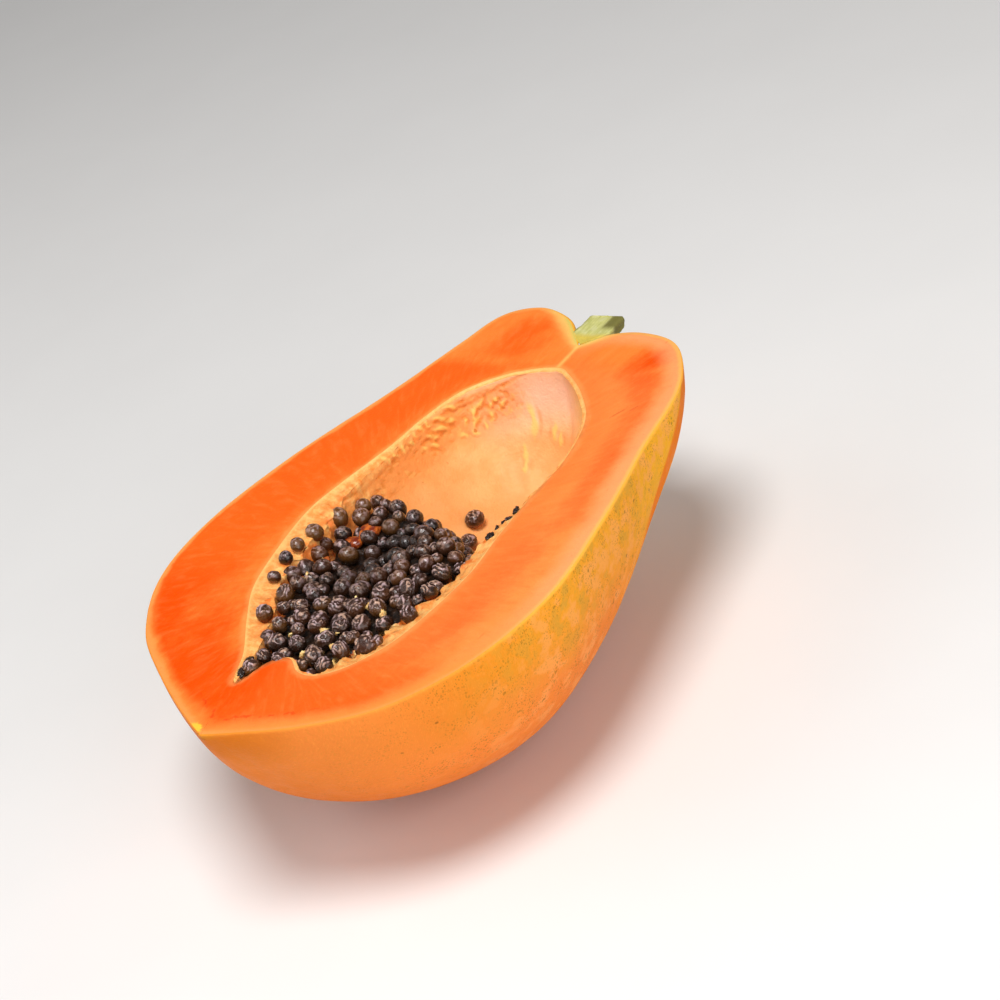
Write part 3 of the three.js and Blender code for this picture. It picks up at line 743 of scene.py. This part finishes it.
def join_forms(name, placed, material):
    """Many small forms as one mesh. Each is (form, axes, turn matrix, centre, tint, border, dark): border
    says how near the heap's border it lies and dark how much painted shade it takes deep in the heap's
    valley, or how dark a torn bit's own colour is."""
    points, faces = [], []
    values = {"ridge": [], "tint": [], "border": [], "dark": [], "up": []}
    start = 0
    for (form, form_faces, form_ridges), axes, turn, centre, tint, border, dark in placed:
        turned = (form * np.array(axes)) @ np.array(turn).T
        points.append(turned + np.array(centre))
        faces.append(form_faces + start)
        values["ridge"].append(form_ridges)
        for name_of, value in (("tint", tint), ("border", border), ("dark", dark)):
            values[name_of].append(np.full(len(form), value))
        values["up"].append(turned[:, 2] / np.abs(turned[:, 2]).max())
        start += len(form)
    made = make_object(name, np.vstack(points), np.vstack(faces), [material])
    for key, value in values.items():
        set_attribute(made, key, np.concatenate(value))
    return made


def scar_up(form, turn, random):
    """The form turned so that, once the seed is turned, its scar points upwards, give or take."""
    points, faces, ridges = form
    tilt = Vector((1.5 * (next(random) - 0.5), 1.5 * (next(random) - 0.5) - 0.3, 1))
    align = (turn.to_matrix().transposed() @ tilt).to_track_quat("Z", "X").to_matrix()
    return points @ np.array(align).T, faces, ridges


def build_seeds(wall, wrinkled_material, smooth_material):
    """The heap: wrinkled seeds at its blossom end and near side, smooth ones elsewhere, and the
    seeds that show only in the gaps."""
    random = random_from(RANDOM_START + 1)
    wrinkled_forms = [seed_form(random, 1.0, 4) for _ in range(16)]
    smooth_forms = [seed_form(random, 0.32, 4) for _ in range(10)]
    under_forms = [seed_form(random, 0.6, 3) for _ in range(8)]
    wrinkled, plain, under = [], [], []
    for centre, radius, turn, thickness, filling in lay_seeds(wall):
        x, y = centre.xy
        dry = smooth(9, -9, x - DRY_TO - DRY_BOW * min(0, y) ** 2) + 0.5 * (next(random) - 0.5)
        pick = next(random)
        if filling:
            forms, pieces = under_forms, under
        elif dry > 0.5:
            forms, pieces = wrinkled_forms, wrinkled
        else:
            forms, pieces = smooth_forms, plain
        form = scar_up(forms[int(pick * len(forms))], turn, random)
        axes = [radius * k for k in SEED_SHAPE]
        border = float(smooth(6, 1, thickness))
        # painted shade, deepest in the heap's valley
        dark = in_valley(x + SHADE_SHIFT[0], y + SHADE_SHIFT[1])
        pieces.append((form, axes, turn.to_matrix(), centre, next(random), border, dark))
    return (
        join_forms("seeds_wrinkled", wrinkled, wrinkled_material),
        join_forms("seeds_smooth", plain, smooth_material),
        join_forms("seeds_under", under, wrinkled_material),
    )


def ripple(x, y, size, seed):
    return noise.noise(Vector((x / size, y / size, seed)))


def build_bed(wall, material):
    """The wet bed of crushed seeds and juice under the seeds that show."""
    x0, x1, y0, y1 = HEAP_BOX
    xs = np.arange(x0 - 2, x1, BED_GRID)
    ys = np.arange(y0 - 1, y1 + 2, BED_GRID)
    inside = {}
    points, faces, thick = [], [], []
    for i, x in enumerate(xs):
        for j, y in enumerate(ys):
            around = [wall_height(wall, x + a, y + b) for a, b in ((0, 0), (2, 0), (-2, 0), (0, 2), (0, -2))]
            around = [z for z in around if z is not None]
            if not around:
                continue
            heap = heap_height(x, y)
            above = heap - max(around)
            base = min(around) - 1
            depth = above - PULP_FILL * float(smooth(PULP_TO, PULP_TO - 22, x)) - 2.5 * ripple(x, y, 7, 9)
            pulp = float(smooth(5.5, 1.5, depth))
            lump = ripple(x, y, 2.4, 3) + 0.5 * ripple(x, y, 1.1, 6)
            top = heap - BED_DROP + 0.7 * lump + pulp * (PULP_RISE + 1.2 * lump)
            top = max(top, -HOLLOW_DEPTH - BED_THICKNESS)
            top = base + float(smooth(1, 7, above)) * (top - base)
            inside[i, j] = len(points)
            points += [(x, y, top), (x, y, top - BED_THICKNESS)]
            thick += [depth, depth]
    walls = {}
    for (i, j), a in inside.items():
        corners = [(i, j), (i + 1, j), (i + 1, j + 1), (i, j + 1)]
        if not all(corner in inside for corner in corners):
            continue
        top = [inside[corner] for corner in corners]
        faces += [tuple(top), tuple(k + 1 for k in reversed(top))]
        for a, b in zip(top, top[1:] + top[:1]):
            if (b, a) in walls:
                del walls[b, a]
            else:
                walls[a, b] = True
    faces += [(b, a, a + 1, b + 1) for a, b in walls]
    used = sorted({k for face in faces for k in face})
    place = {k: n for n, k in enumerate(used)}
    faces = [tuple(place[k] for k in face) for face in faces]
    bed = make_object("seed_bed", [points[k] for k in used], faces, [material])
    set_attribute(bed, "thick", [thick[k] for k in used])
    return bed


def build_strays(wall, material):
    """The seeds and torn bits that stick to the fruit away from the heap."""
    random = random_from(RANDOM_START + 2)
    placed = []
    for x, y, radius in STRAY_SEEDS:
        axes = [radius * k for k in SEED_SHAPE]
        centre = (x, y, wall_height(wall, x, y) + STRAY_LIFT * radius)
        placed.append((seed_form(random, 0.4, 4), axes, Matrix.Identity(3), centre, 0.6, 1.0, 0.0))
    for x, y, length, turn in SEED_BITS:
        axes = [length * k for k in BIT_SHAPE]
        centre = (x, y, wall_height(wall, x, y) + BIT_LIFT)
        placed.append((crumb_form(random), axes, Euler((0, 0, turn)).to_matrix(), centre, 0.2, 0.2, 0.6))
    return join_forms("seeds_stray", placed, material)


def build_pulp(pulp_material, jelly_material):
    """Pale crumbs of pulp and lumps of amber jelly between the seeds."""
    random = random_from(RANDOM_START + 3)
    crumbs, lumps = [], []
    for x, y, radius in PULP:
        axes = (radius, radius * (0.45 + 0.4 * next(random)), radius * (0.6 + 0.5 * next(random)))
        turn = Euler([6 * next(random) for _ in range(3)]).to_matrix()
        centre = (x, y, heap_height(x, y) + PULP_LIFT)
        crumbs.append((crumb_form(random), axes, turn, centre, next(random), 1.0, 0.0))
    for x, y, radius in JELLY:
        turn = Euler((0, 0, 6 * next(random))).to_matrix()
        centre = (x, y, heap_height(x, y) + JELLY_LIFT)
        axes = [radius * k for k in JELLY_SHAPE]
        lumps.append((seed_form(random, 0.0, 4), axes, turn, centre, 0.5, 1.0, 0.0))
    return join_forms("pulp_crumbs", crumbs, pulp_material), join_forms("jelly", lumps, jelly_material)


# ------------------------------------------------------------------ materials
def srgb(red, green, blue):
    """A colour from its sRGB values, 0 to 255."""
    share = np.array([red, green, blue]) / 255
    linear = np.where(share <= 0.04045, share / 12.92, ((share + 0.055) / 1.055) ** 2.4)
    return (*[float(v) for v in linear], 1.0)


class Value:
    """A number or colour inside a material, which can be added, subtracted and multiplied."""

    def __init__(self, look, socket):
        self.look = look
        self.socket = socket

    def __add__(self, other):
        return self.look.math("ADD", self, other)

    def __sub__(self, other):
        return self.look.math("SUBTRACT", self, other)

    def __mul__(self, other):
        return self.look.math("MULTIPLY", self, other)

    def step(self, low, high, out_low=0.0, out_high=1.0):
        """A smooth step from out_low where the value is low to out_high where it is high."""
        inputs = dict(enumerate((self, low, high, out_low, out_high)))
        return self.look.node("MapRange", inputs, interpolation_type="SMOOTHSTEP")


class Look:
    """A new material with short ways to add its nodes. Sizes are in mm and axis() gives metres.
    Values are numbers, colours as tuples from 0 to 255, or Value."""

    def __init__(self, name, **surface):
        self.material = bpy.data.materials.new(name)
        self.material.use_nodes = True
        self.nodes = self.material.node_tree.nodes
        self.links = self.material.node_tree.links
        self.surface = self.nodes["Principled BSDF"]
        for socket, setting in surface.items():
            self.surface.inputs[socket.replace("_", " ")].default_value = setting
        self.place = self.node("TexCoord", {}, "Object")

    def put(self, value, socket):
        if isinstance(value, Value):
            self.links.new(value.socket, socket)
        else:
            socket.default_value = srgb(*value) if isinstance(value, tuple) else value

    def node(self, kind, inputs, output=0, **settings):
        """One output of a new node, once its settings and inputs are set."""
        node = self.nodes.new("ShaderNode" + kind)
        for name, setting in settings.items():
            setattr(node, name, setting)
        for socket, value in inputs.items():
            self.put(value, node.inputs[socket])
        return Value(self, node.outputs[output])

    def value(self, name):
        """The mesh's own value of that name."""
        return self.node("Attribute", {}, "Fac", attribute_name=name)

    def axis(self, name):
        return self.node("SeparateXYZ", {0: self.place}, name)

    def math(self, operation, a, b=0.0):
        return self.node("Math", {0: a, 1: b}, operation=operation)

    def scaled(self, size, stretch):
        """The place in steps of size, stretched along the axes."""
        scale = [1 / (k * size * MM) for k in stretch]
        return self.node("Mapping", {"Vector": self.place, "Scale": scale})

    def grain(self, place, detail, rough, warp):
        inputs = {"Vector": place, "Scale": 1, "Detail": detail, "Roughness": rough, "Distortion": warp}
        return self.node("TexNoise", inputs, "Fac")

    def noise(self, size, detail=2.0, rough=0.5, stretch=(1, 1, 1), warp=0.0):
        """Noise from 0 to 1 whose features are about size wide."""
        return self.grain(self.scaled(size, stretch), detail, rough, warp)

    def fibres(self, width, length):
        """Noise from 0 to 1 in fibres that run straight away from the hollow's edge."""
        place = {0: self.value("along") * (1 / width), 1: self.value("lip") * (1 / length)}
        return self.grain(self.node("CombineXYZ", place), 3, 0.6, 0.5)

    def swing(self, size, depth, **options):
        """Noise that swings by about depth to either side of 0."""
        return (self.noise(size, **options) - 0.5) * (4 * depth)

    def dashes(self, size, reach, keep, stretch):
        """Scattered dashes about size apart: reach is their size as a share of that, and keep the
        share of them that stays."""
        place = {"Vector": self.scaled(size, stretch), "Scale": 1}
        away = self.node("TexVoronoi", place, "Distance")
        cell = Value(self, away.socket.node.outputs["Color"])
        kept = self.node("SeparateColor", {0: cell}).step(keep + 0.02, keep - 0.02)
        return away.step(reach, reach * 0.45) * kept

    def spot(self, place, size, turn):
        """A spot, 1 inside and 0 outside, at a place in the fruit's own frame."""
        length, width = size
        inputs = {
            "Vector": self.place, "Location": [float(v) for v in to_row(place)], "Rotation": [0, 0, turn],
            "Scale": [length * MM / 2, width * MM / 2, length * MM / 2],
        }
        offset = self.node("Mapping", inputs, vector_type="TEXTURE")
        away = self.node("VectorMath", {0: offset}, "Value", operation="LENGTH")
        return (away + self.swing(0.8, 0.35)).step(1.25, 0.7)

    def mix(self, share, a, b):
        """a where the share is 0 and b where it is 1."""
        return self.node("Mix", {0: share, 6: a, 7: b}, 2, data_type="RGBA")

    def paint(self, shade, share):
        """Covers that share of the colour with a shade."""
        self.colour = self.mix(share, self.colour, shade)

    def paint_spots(self, *spots):
        """Paints spots, each given by place, length and width, turn, shade and strength."""
        for place, size, turn, shade, strength in spots:
            self.paint(shade, self.spot(place, size, turn) * strength)

    def finish(self, relief=None, tall=0.0, roughness=None):
        """The material, where a relief from 0 to 1 stands as many mm tall."""
        ends = {"Base Color": self.colour}
        if relief is not None:
            inputs = {"Strength": 1.0, "Distance": tall * MM, "Height": relief}
            ends["Normal"] = self.node("Bump", inputs, "Normal")
        if roughness is not None:
            ends["Roughness"] = roughness
        for socket, value in ends.items():
            self.put(value, self.surface.inputs[socket])
        return self.material


def skin_material():
    look = Look("papaya_skin", Roughness=0.45, Specular_IOR_Level=0.015)
    depth = look.value("rim")
    x = look.axis("X")
    cloud = look.swing(24, 1.0, detail=3, rough=0.55)
    patch = look.swing(7, 1.0, detail=3, rough=0.6)
    ragged_depth = depth + cloud * 7 + patch * 3
    to_stem = (x + cloud * 0.012).step(0.0, 0.06)
    low = ragged_depth.step(10, 55)
    look.colour = look.mix(low, (238, 134, 58), (232, 126, 54))
    look.paint(look.mix(low, (248, 178, 36), (246, 140, 24)), to_stem)
    gold = x.step(-0.095, -0.055) * x.step(0.075, 0.02, 0.45, 1.0) * ragged_depth.step(36, 6)
    ripe = x.step(-0.085, -0.01)
    look.paint(look.mix(ripe, (218, 122, 26), (236, 160, 34)), gold * 0.85)
    olive = gold * patch.step(0.0, 0.5) * ripe
    look.paint((198, 152, 58), olive * 0.6)
    streak = look.swing(1.6, 1.0, detail=4, rough=0.65, stretch=(0.16, 1, 1))
    look.paint((208, 148, 52), streak.step(0.0, 0.9, 0.0, 0.3))
    look.paint((255, 168, 70), streak.step(0.0, -0.9, 0.0, 0.3))
    peach = patch.step(0.1, -0.5) * x.step(-0.08, -0.02)
    look.paint((246, 164, 92), peach * 0.5)
    pink = ragged_depth.step(44, 66) * x.step(-0.09, -0.03)
    look.paint((242, 138, 70), pink * 0.55)

    zone = x.step(-0.1, -0.06) * ragged_depth.step(60, 34)
    groups = zone * look.noise(8, 3).step(0.38, 0.6)
    for size, reach, keep, stretch, strength in (
        (2.4, 0.3, 0.3, (1.3, 1, 1), 0.5), (1.6, 0.34, 0.5, (0.8, 1, 1.5), 0.5),
        (1.0, 0.38, 0.6, (0.6, 1, 1), 0.55), (0.8, 0.42, 0.5, (1, 1, 1), 0.5),
    ):
        dash = look.dashes(size, reach, keep, stretch) * groups * strength
        look.paint((140, 98, 32), dash)
    lone = look.dashes(7.5, 0.09, 0.5, (1.6, 1, 1)) * x.step(-0.1, -0.07) * 0.75
    look.paint((140, 84, 30), lone)

    # painted shade in the groove down the skin, orange-brown
    look.paint((232, 118, 14), look.value("groove_shade") * 0.95)
    look.paint_spots(((0.6, 0.8, -1.4), (3.2, 3.2), 0, (46, 26, 14), 0.9))
    look.paint((236, 180, 52), x.step(-0.1025, -0.1038))
    look.paint((216, 116, 22), x.step(-0.094, -0.1015) * 0.7)
    line = (depth + look.swing(3, 0.25)).step(1.3, 0.4)
    line = line * x.step(-0.08, -0.01, 0.35, 0.75)
    look.paint(look.mix(ripe, (246, 156, 62), (250, 180, 70)), line)
    pores = look.noise(0.8, detail=2)
    relief = pores * 0.35 + look.noise(4.5, detail=3)
    return look.finish(relief, 0.4, look.noise(6).step(0.3, 0.7, 0.42, 0.56))


def flesh_material():
    look = Look(
        "papaya_flesh", Roughness=0.5, Specular_IOR_Level=0.05, Subsurface_Weight=0.06,
        Subsurface_Radius=(1.0, 0.35, 0.12), Subsurface_Scale=0.0025,
    )
    rim = look.value("rim")
    lip = look.value("lip")
    x, y = look.axis("X"), look.axis("Y")
    cloud = look.swing(17, 1.0, detail=4, rough=0.6)
    fibre = look.swing(2.2, 1.0, detail=4, rough=0.65, stretch=(2.2, 1.2, 1), warp=0.6)
    mottle = look.swing(5, 1.0, detail=4, rough=0.65, stretch=(1.6, 1, 1))
    uneven = cloud * 0.22 + fibre * 0.07 + mottle * 0.12
    deep = (look.value("ripe") + uneven).step(0.0, 1.0)
    coral = x.step(-0.085, -0.045) * x.step(0.105, 0.085) * y.step(0.01, -0.03)
    light = look.mix(coral, (252, 132, 52), (251, 142, 68))
    far = x.step(-0.045, -0.01) * y.step(0.0, 0.02)
    dark = look.mix(coral, look.mix(far, (238, 78, 2), (250, 100, 24)), (247, 110, 46))
    look.colour = look.mix(deep, light, dark)
    tongue = y.step(0.002, -0.015) * x.step(-0.04, -0.07)
    look.paint((250, 122, 46), tongue * 0.35)
    inward = look.value("lip").step(16, 3) * x.step(-0.07, -0.035) * y.step(0.01, -0.01)
    look.paint((247, 124, 54), inward * 0.75)
    threads = look.fibres(0.9, 9)
    look.paint((255, 168, 92), threads.step(0.45, 0.75, 0.0, 0.14))
    look.paint((238, 76, 14), threads.step(0.5, 0.25, 0.0, 0.14))
    near = y.step(0.004, -0.02)
    ragged_rim = rim + cloud * 1.2 + mottle * 0.5
    peach = ragged_rim.step(10, 2) * near * x.step(-0.07, 0.0, 0.2, 1.0)
    look.paint((252, 162, 102), peach * 0.85)
    tip_band = ragged_rim.step(y.step(0.03, 0.0, 5.0, 9.0), 1.0) * x.step(-0.02, -0.07)
    look.paint((255, 150, 66), tip_band * 0.7)
    far_band = ragged_rim.step(2.6, 0.6) * near.step(1.0, 0.0)
    look.paint((254, 152, 76), far_band * 0.8)
    fringe = (lip + cloud * 0.8 + mottle * 0.6).step(2.6, 0.1)
    look.paint((254, 166, 92), fringe * 0.45)
    edge = (rim + look.swing(4, 0.2)).step(1.7, 0.6)
    yellow = edge * x.step(-0.08, 0.0, 0.3, 0.9) * (near * 0.6 + 0.4)
    golden = x.step(-0.08, -0.01)
    look.paint(look.mix(golden, (252, 158, 90), (252, 178, 92)), yellow)

    crack_line = look.math("ABSOLUTE", rim + mottle * 1.6 - 7.2)
    crack = crack_line.step(0.7, 0.15) * x.step(-0.082, -0.09)
    crack = crack * look.noise(3).step(0.42, 0.56)
    look.paint((222, 60, 12), crack * 0.6)
    flecks = look.noise(1.6, detail=3, rough=0.6, stretch=(2.4, 1, 1)).step(0.66, 0.76)
    look.paint((226, 82, 28), flecks * 0.3)
    look.paint_spots(
        ((175.8, -41.6, 0), (7, 1.0), -0.5, (214, 88, 40), 0.5),
        ((179, -46, 0), (4, 0.9), -0.4, (214, 88, 40), 0.4),
        ((3, 4.2, 0), (6, 4), 0.9, (255, 204, 62), 0.8),
    )
    look.paint((251, 194, 104), look.value("halo"))
    look.paint((214, 198, 98), look.value("green"))
    relief = look.noise(1.0, detail=4, rough=0.6) + look.noise(4, detail=2) * 1.5
    return look.finish(relief, 0.14)


def wall_material():
    look = Look(
        "papaya_hollow", Roughness=0.45, Specular_IOR_Level=0.25, Subsurface_Weight=0.08,
        Subsurface_Radius=(1.0, 0.45, 0.2), Subsurface_Scale=0.0025,
    )
    x, y = look.axis("X"), look.axis("Y")
    lip = look.value("lip")
    shelf = look.value("shelf")
    cloud = look.swing(11, 1.0, detail=3, rough=0.6)
    patch = look.swing(3.2, 1.0, detail=3, rough=0.65)
    look.colour = look.mix(cloud.step(-0.5, 0.5), (250, 172, 102), (254, 188, 120))
    yellow = y.step(0.002, -0.02) * (lip + cloud * 5).step(30, 8)
    look.paint((252, 202, 112), yellow * 0.8)
    # pale pink of the wall at the stem end, partly painted light: lighter than its own tone near the lip,
    # where the wall lies in shade
    pink = x.step(0.07, 0.092) * lip.step(26, 10) * y.step(-0.02, 0.0)
    look.paint((255, 206, 176), pink * 0.85)
    far = y.step(0.0, 0.025) * x.step(0.07, 0.05)
    look.paint((242, 152, 76), far * 0.45)
    zone = look.value("rough")
    look.paint((246, 148, 72), zone * 0.75)
    look.paint((250, 182, 98), zone * patch.step(0.1, 0.7) * 0.6)

    tissue = look.mix(patch.step(-0.5, 0.6), (244, 156, 78), (252, 190, 112))
    look.paint(tissue, shelf)
    slit = look.value("slit") * y.step(-0.03, 0.0, 0.3, 0.85)
    look.paint((240, 128, 52), slit)
    inner = shelf * look.noise(1.7, detail=3, rough=0.65).step(0.58, 0.72)
    look.paint((240, 150, 72), inner * 0.45)
    threads = look.fibres(0.9, 6)
    torn = shelf * lip.step(1.5, 5)
    look.paint((232, 124, 44), torn * threads.step(0.5, 0.32) * 0.7)
    look.paint((254, 208, 130), torn * threads.step(0.52, 0.7) * 0.55)
    juicy = (look.noise(3.4, detail=3) + lip.step(6, 16, 0.0, 0.14)).step(0.56, 0.68)
    look.paint((228, 104, 30), torn * juicy * x.step(0.03, 0.0) * 0.75)
    look.paint((254, 206, 112), look.value("stalk").step(0.15, 0.9, 0.0, 0.8))
    # painted shadow below the stalks and painted shade in the rough patch's dips, darker orange
    look.paint((226, 128, 44), look.value("pocket_shade").step(0.15, 0.8) * 0.6)
    # painted shade in the fold below the +Y lip
    look.paint((240, 142, 66), look.value("fold_shade") * 0.65)
    look.paint_spots(
        ((51.6, -32.4, -1.8), (3, 1.2), 0.6, (176, 92, 40), 0.7),
        ((74.3, -38.2, -1.4), (1.6, 1.4), 0, (120, 60, 26), 0.8),
        ((85.1, -39.8, -1.4), (1.2, 1.0), 0, (140, 70, 30), 0.7),
        ((181.0, 27.0, -13.6), (1.6, 1.3), 0, (206, 116, 40), 0.8),
        ((166.0, 30.4, -17.0), (1.4, 1.2), 0, (206, 116, 40), 0.7),
        ((153.0, 31.5, -16.0), (1.3, 1.2), 0, (206, 116, 40), 0.6),
    )
    line = (lip + look.swing(2, 0.3)).step(1.3, 0.3)
    look.paint((255, 196, 116), line * 0.7)
    relief = look.noise(0.9, detail=3, rough=0.6) + look.noise(3, detail=2) + threads * torn * 2.0
    return look.finish(relief, 0.25)


def stem_material():
    look = Look("stem", Roughness=0.7, Specular_IOR_Level=0.25)
    y = look.axis("Y")
    z = look.axis("Z")
    grain = look.noise(0.8, detail=3, rough=0.6, stretch=(7, 1, 1))
    look.colour = look.mix(grain.step(0.35, 0.7), (206, 202, 128), (184, 182, 104))
    look.paint((216, 212, 158), look.noise(3, detail=3).step(0.45, 0.7, 0.0, 0.6))
    # painted shade on the stub's -Y side, dark olive
    side = y.step(-0.001, -0.0035) * look.axis("X").step(0.12, 0.124)
    look.paint((112, 106, 48), side * 0.95)
    # painted shade, darker towards the stub's underside
    look.paint((150, 150, 66), z.step(TIP.z - 0.001, TIP.z - 0.006, 0.0, 0.5))
    base = look.axis("X").step(0.1195, 0.116)
    look.paint((216, 190, 82), base)
    return look.finish(grain, 0.4)


def seed_material(name, wrinkled):
    look = Look(name, Specular_IOR_Level=0.28, Coat_Weight=0.42, Coat_Roughness=0.07)
    ridge = look.value("ridge")
    tint = look.value("tint")
    up = look.value("up")
    # painted highlight: the pale film goes on each seed's upper side, where light from above falls
    top = (up + look.swing(1.4, 0.25, detail=3)).step(0.15, 0.9)
    olive = tint.step(0.62, 0.9)
    body = look.mix(olive, look.mix(tint, (26, 14, 7), (88, 46, 21)), (96, 58, 21))
    # painted shade: each seed's lower half is darker
    body = look.mix(up.step(0.4, -0.4, 0.0, 0.5), body, (20, 12, 6))
    # pale lilac film of the seeds' jelly, partly painted highlight
    film_and_highlight = look.mix(look.noise(3, detail=2).step(0.35, 0.65), (200, 160, 136), (198, 168, 172))
    if wrinkled:
        # painted highlight on the wrinkles' crests, darker brown between them
        crest = (ridge + look.swing(1.1, 0.3, detail=3)).step(0.14, 0.78)
        look.colour = look.mix(top * 0.95, body, look.mix(crest, (58, 32, 22), film_and_highlight))
    else:
        # painted highlight in specks on the smooth seeds' upper sides
        speck = look.noise(1.3, detail=3, rough=0.65) + ridge * 0.1
        look.colour = look.mix(top * speck.step(0.46, 0.64) * 0.54, body, film_and_highlight)
    below = (up + look.swing(1.5, 0.2)).step(0.1, -0.7)
    look.paint((132, 60, 16), below * look.value("border") * 0.85)
    # painted shade deep in the heap's valley; the torn bits take it as their own dark colour
    look.paint((16, 11, 7), look.value("dark") * 0.9)
    rough = look.noise(1.1, detail=3).step(0.35, 0.7, 0.22, 0.45)
    relief = look.noise(0.9, detail=3, rough=0.65) + look.noise(0.4, detail=2)
    return look.finish(relief, 0.25 if wrinkled else 0.1, rough)


def bed_material():
    look = Look("seed_bed", Roughness=0.35, Specular_IOR_Level=0.35, Coat_Weight=0.15, Coat_Roughness=0.15)
    thick = look.value("thick") + look.swing(2.5, 1.0, detail=3)
    lumps = look.noise(1.4, detail=3, rough=0.6)
    dark = look.mix(lumps.step(0.4, 0.7), (20, 12, 7), (52, 30, 16))
    pale = look.mix(lumps.step(0.35, 0.65), (246, 180, 92), (255, 212, 132))
    juice = look.mix(look.noise(2.5, detail=2), (196, 84, 18), (232, 124, 40))
    look.colour = look.mix(thick.step(4.6, 6.4), juice, dark)
    look.paint(pale, (thick + look.swing(4, 1.0)).step(4.4, 3.2))
    return look.finish(lumps, 0.6)


def pulp_material():
    look = Look(
        "pulp", Roughness=0.4, Specular_IOR_Level=0.35, Subsurface_Weight=0.1,
        Subsurface_Radius=(1.0, 0.5, 0.2), Subsurface_Scale=0.002,
    )
    patch = look.noise(1.2, detail=3, rough=0.6)
    look.colour = look.mix(patch.step(0.35, 0.65), (238, 180, 104), (255, 222, 150))
    look.paint((214, 132, 60), look.value("up").step(0.0, -0.8))
    return look.finish(patch, 0.4)


def jelly_material():
    look = Look(
        "jelly", Roughness=0.2, Specular_IOR_Level=0.4, Coat_Weight=0.4, Coat_Roughness=0.1,
        Subsurface_Weight=0.08, Subsurface_Radius=(1.0, 0.4, 0.15), Subsurface_Scale=0.002,
    )
    patch = look.noise(2.2, detail=3, rough=0.55)
    look.colour = look.mix(patch.step(0.4, 0.65), (120, 38, 12), (206, 104, 36))
    return look.finish(patch, 0.5)


def floor_material():
    look = Look("floor", Roughness=0.85, Specular_IOR_Level=0.2)
    look.colour = look.mix(look.noise(60, detail=2), (232, 230, 228), (236, 234, 232))
    return look.finish()


# ------------------------------------------------------------------ the stage
CAMERA_PLACE = (-0.59925, -0.64817, 0.54094)
CAMERA_TURN = (-45.0, 28.0, -21.388)  # azimuth, elevation and roll in degrees
CAMERA_LENS = 113.67
FLOOR_SIZE = 8
LIT_PLACE = (0, 0, 0.06)
# Name, place, diameter and power of each light.
LIGHTS = (
    ("key", (-0.28, -0.3, 1.25), 0.55, 13.5),
    ("fill", (-0.5, -1.1, 0.45), 1.1, 9.5),
    ("back", (-0.5, 0.9, 0.7), 1.2, 4),
)
WORLD_STRENGTH = 0.16


def add_camera():
    data = bpy.data.cameras.new("camera")
    data.lens = CAMERA_LENS
    data.sensor_width = 36
    data.clip_end = 20
    azimuth, elevation, roll = (math.radians(angle) for angle in CAMERA_TURN)
    level = Euler((math.pi / 2 - elevation, 0, azimuth)).to_matrix()
    turn = (level @ Matrix.Rotation(roll, 3, "Z")).to_4x4()
    camera = add_object("camera", data)
    camera.matrix_world = Matrix.Translation(CAMERA_PLACE) @ turn
    bpy.context.scene.camera = camera


def add_stage():
    half = FLOOR_SIZE / 2
    mesh = bpy.data.meshes.new("floor")
    corners = [(-half, -half, 0), (half, -half, 0), (half, half, 0), (-half, half, 0)]
    mesh.from_pydata(corners, [], [(0, 1, 2, 3)])
    mesh.materials.append(floor_material())
    add_object("floor", mesh)
    world = bpy.data.worlds.new("studio")
    world.use_nodes = True
    background = world.node_tree.nodes["Background"].inputs
    background["Color"].default_value = (1, 1, 1, 1)
    background["Strength"].default_value = WORLD_STRENGTH
    bpy.context.scene.world = world
    for name, place, size, power in LIGHTS:
        data = bpy.data.lights.new(name, "AREA")
        data.shape = "DISK"
        data.size = size
        data.energy = power
        light = add_object(name, data)
        light.location = place
        light.rotation_euler = (Vector(LIT_PLACE) - Vector(place)).to_track_quat("-Z", "Y").to_euler()
    bpy.context.scene.view_settings.view_transform = "Standard"


# ------------------------------------------------------------------ the whole
fruit, wall = build_fruit([skin_material(), flesh_material(), wall_material()])
stem = build_stem(stem_material())
dry = seed_material("seeds_wrinkled", True)
wrinkled_seeds, smooth_seeds, under_seeds = build_seeds(wall, dry, seed_material("seeds_smooth", False))
bed = build_bed(wall, bed_material())
strays = build_strays(wall, seed_material("seeds_stray", True))
crumbs, jelly = build_pulp(pulp_material(), jelly_material())

# Each piece with its slot and the nodes it replaces.
for piece, slot, nodes in (
    (fruit, "fruit", ["fruit"]),
    (stem, "stem", ["stem"]),
    (wrinkled_seeds, "seeds", ["seeds"]),
    (smooth_seeds, "seeds", ["seeds"]),
    (under_seeds, "seeds", ["seeds"]),
    (bed, "seeds", ["seeds"]),
    (strays, "seeds", []),
    (crumbs, "seeds", []),
    (jelly, "seeds", []),
):
    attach(piece, "root")
    if nodes:
        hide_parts(*nodes)

add_camera()
add_stage()
